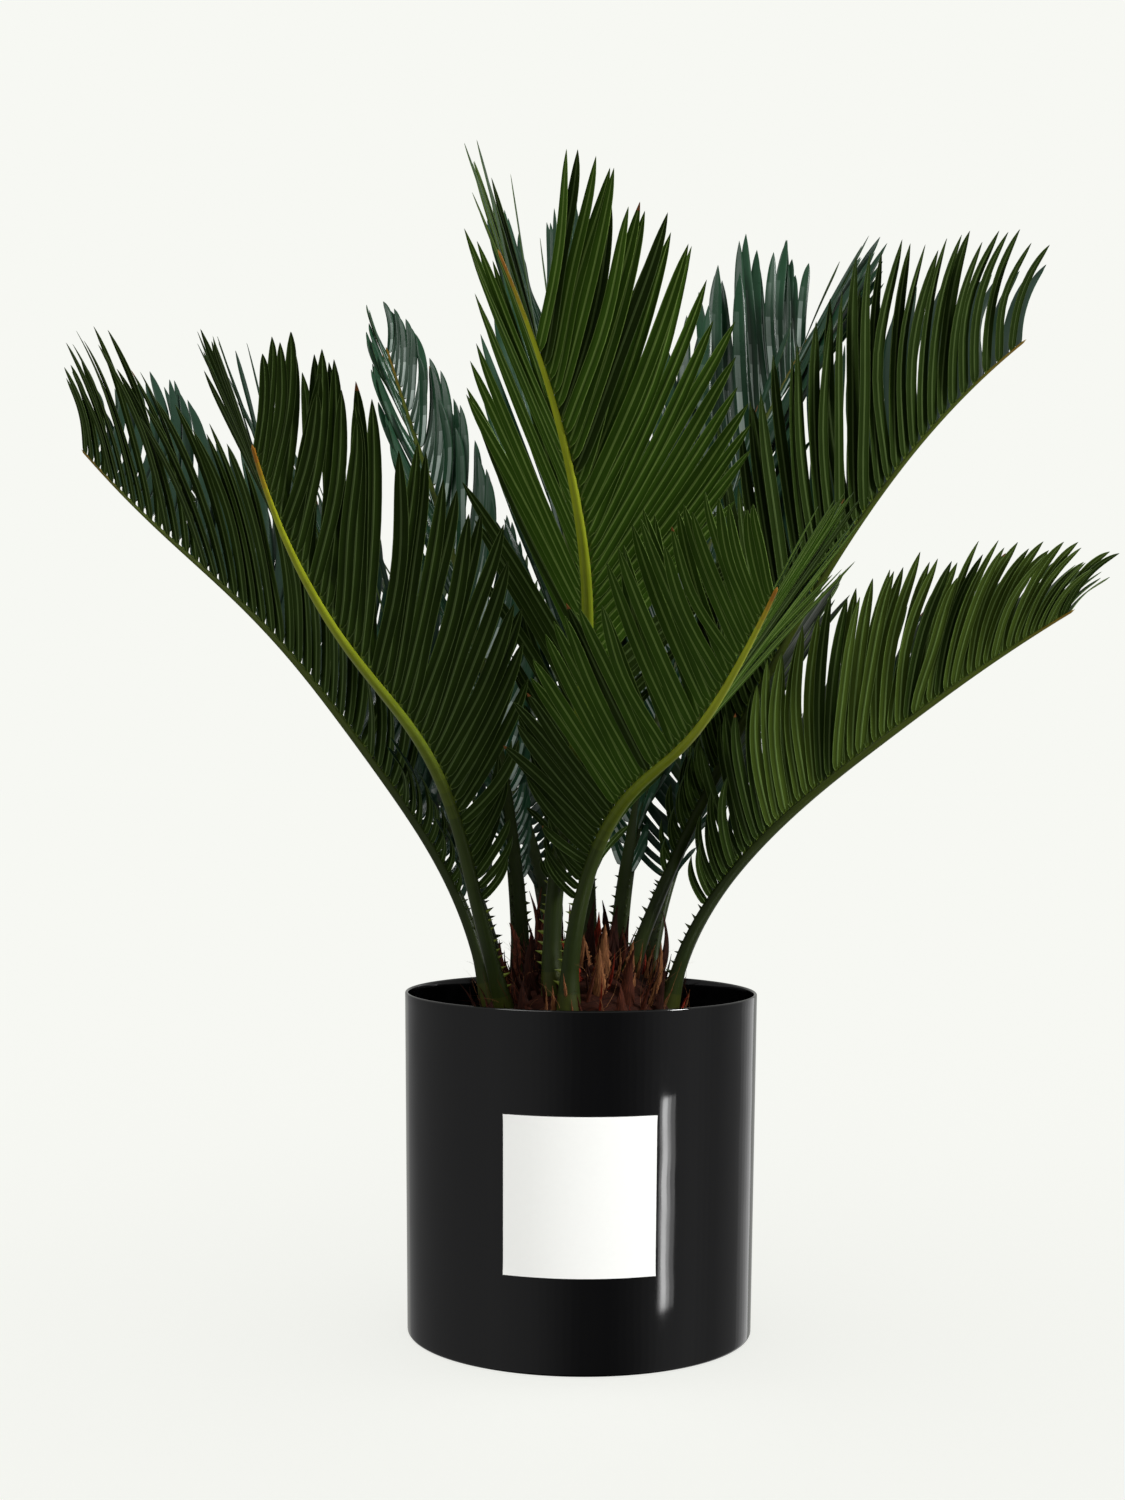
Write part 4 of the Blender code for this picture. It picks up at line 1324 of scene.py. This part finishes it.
def add_stage(settings):
    scene = bpy.context.scene
    scene.view_settings.view_transform = "Standard"
    scene.world = scene.world or bpy.data.worlds.new("studio")
    tree = emptied(scene.world)
    seen = add_node(tree, "ShaderNodeLightPath", {}).outputs["Is Camera Ray"]
    strength = ranged(tree, seen, 0.0, 1.0, AMBIENT, 1.0)
    sky = add_node(tree, "ShaderNodeBackground", {"Color": settings.backdrop, "Strength": strength})
    add_node(tree, "ShaderNodeOutputWorld", {"Surface": sky})
    corners = [(FLOOR_REACH * x, FLOOR_REACH * y, 0) for x, y in ((-1, -1), (1, -1), (1, 1), (-1, 1))]
    floor = add_plane("floor", corners, floor_finish(settings.backdrop))
    floor.visible_glossy = False
    floor.visible_diffuse = False
    add_curtain()
    beside = Vector((-STREAK_PLACE[1], STREAK_PLACE[0], 0)).normalized()
    for number, (start, width, strength) in enumerate(STREAK_STRIPS):
        place = Vector(STREAK_PLACE) + beside * (start + width / 2)
        add_card(f"streak_card_{number}", place, (0, 0, STREAK_PLACE[2]), (width, STREAK_HEIGHT), strength)
    add_card("sky_card", SKY_PLACE, SKY_AIM, SKY_SIZE, SKY_STRENGTH)
    key = add_disk_light("key", KEY_PLACE, KEY_AIM_HEIGHT, KEY_SIZE, settings.key_power)
    spot = add_light("label_spot", "SPOT", SPOT_PLACE, SPOT_AIM, settings.spot_power)
    spot.data.spot_size = math.radians(SPOT_CONE)
    spot.data.spot_blend = SPOT_BLEND
    spot.data.shadow_soft_size = SPOT_RADIUS
    spot.visible_glossy = False
    fill = add_disk_light("fill", FILL_PLACE, FILL_AIM_HEIGHT, FILL_SIZE, settings.fill_power)
    for light in (key, spot, fill):
        keep_off(light, floor)
    add_camera(scene)


def add_camera(scene):
    """A camera where the photograph was taken from, with the same lens."""
    data = bpy.data.cameras.new("camera")
    data.lens = CAMERA_LENS
    data.sensor_width = SENSOR_LONG_SIDE
    camera = new_object("camera", data)
    camera.matrix_world = Matrix.Translation(CAMERA_PLACE)
    for angle, axis in ((CAMERA_PAN, "Z"), (90 + CAMERA_TILT, "X"), (CAMERA_ROLL, "Z")):
        camera.matrix_world = camera.matrix_world @ Matrix.Rotation(math.radians(angle), 4, axis)
    scene.camera = camera


class PALM_OT_pot(bpy.types.Operator):
    """Builds the lacquered pot"""

    bl_idname = "palm.add_pot"
    bl_label = "Add pot"

    def execute(self, context):
        add_pot(context.scene.palm_pot)
        return {"FINISHED"}


class PALM_OT_label(bpy.types.Operator):
    """Builds the blank paper label"""

    bl_idname = "palm.add_label"
    bl_label = "Add label"

    def execute(self, context):
        add_label(context.scene.palm_pot)
        return {"FINISHED"}


class PALM_OT_soil(bpy.types.Operator):
    """Builds the soil and its bark chips"""

    bl_idname = "palm.add_soil"
    bl_label = "Add soil"

    def execute(self, context):
        add_soil(context.scene.palm_pot, context.scene.palm_crown.seed)
        return {"FINISHED"}


class PALM_OT_trunk(bpy.types.Operator):
    """Builds the low trunk"""

    bl_idname = "palm.add_trunk"
    bl_label = "Add trunk"

    def execute(self, context):
        add_trunk(context.scene.palm_crown)
        return {"FINISHED"}


class PALM_OT_scales(bpy.types.Operator):
    """Builds the bud scales, the strips between them and the loose fibres"""

    bl_idname = "palm.add_scales"
    bl_label = "Add bud scales"

    def execute(self, context):
        add_scales(context.scene.palm_crown)
        return {"FINISHED"}


class PALM_OT_fronds(bpy.types.Operator):
    """Grows the stalks and the leaflets"""

    bl_idname = "palm.add_fronds"
    bl_label = "Add fronds"

    def execute(self, context):
        add_fronds(context.scene.palm_crown)
        return {"FINISHED"}


class PALM_OT_stage(bpy.types.Operator):
    """Sets the floor, the backdrop, the lights and the camera"""

    bl_idname = "palm.set_stage"
    bl_label = "Set stage"

    def execute(self, context):
        add_stage(context.scene.palm_stage)
        return {"FINISHED"}


OPERATORS = (
    PALM_OT_pot,
    PALM_OT_label,
    PALM_OT_soil,
    PALM_OT_trunk,
    PALM_OT_scales,
    PALM_OT_fronds,
    PALM_OT_stage,
)


class PALM_PT_sidebar(bpy.types.Panel):
    """Lists the settings and the steps of the palm"""

    bl_idname = "PALM_PT_sidebar"
    bl_label = "Potted palm"
    bl_space_type = "VIEW_3D"
    bl_region_type = "UI"
    bl_category = "Palm"

    def draw(self, context):
        for settings in (context.scene.palm_pot, context.scene.palm_crown, context.scene.palm_stage):
            box = self.layout.box()
            for name in settings.__annotations__:
                box.prop(settings, name)
        for operator in OPERATORS:
            self.layout.operator(operator.bl_idname)


SETTINGS = (PotSettings, CrownSettings, StageSettings)


def register():
    for kind in (*SETTINGS, *OPERATORS, PALM_PT_sidebar):
        bpy.utils.register_class(kind)
    bpy.types.Scene.palm_pot = PointerProperty(type=PotSettings)
    bpy.types.Scene.palm_crown = PointerProperty(type=CrownSettings)
    bpy.types.Scene.palm_stage = PointerProperty(type=StageSettings)


def unregister():
    del bpy.types.Scene.palm_stage
    del bpy.types.Scene.palm_crown
    del bpy.types.Scene.palm_pot
    for kind in (PALM_PT_sidebar, *reversed(OPERATORS), *reversed(SETTINGS)):
        bpy.utils.unregister_class(kind)


def main():
    register()
    bpy.ops.palm.add_pot()
    bpy.ops.palm.add_label()
    bpy.ops.palm.add_soil()
    bpy.ops.palm.add_trunk()
    bpy.ops.palm.add_scales()
    bpy.ops.palm.add_fronds()
    bpy.ops.palm.set_stage()


if __name__ == "__main__":
    main()
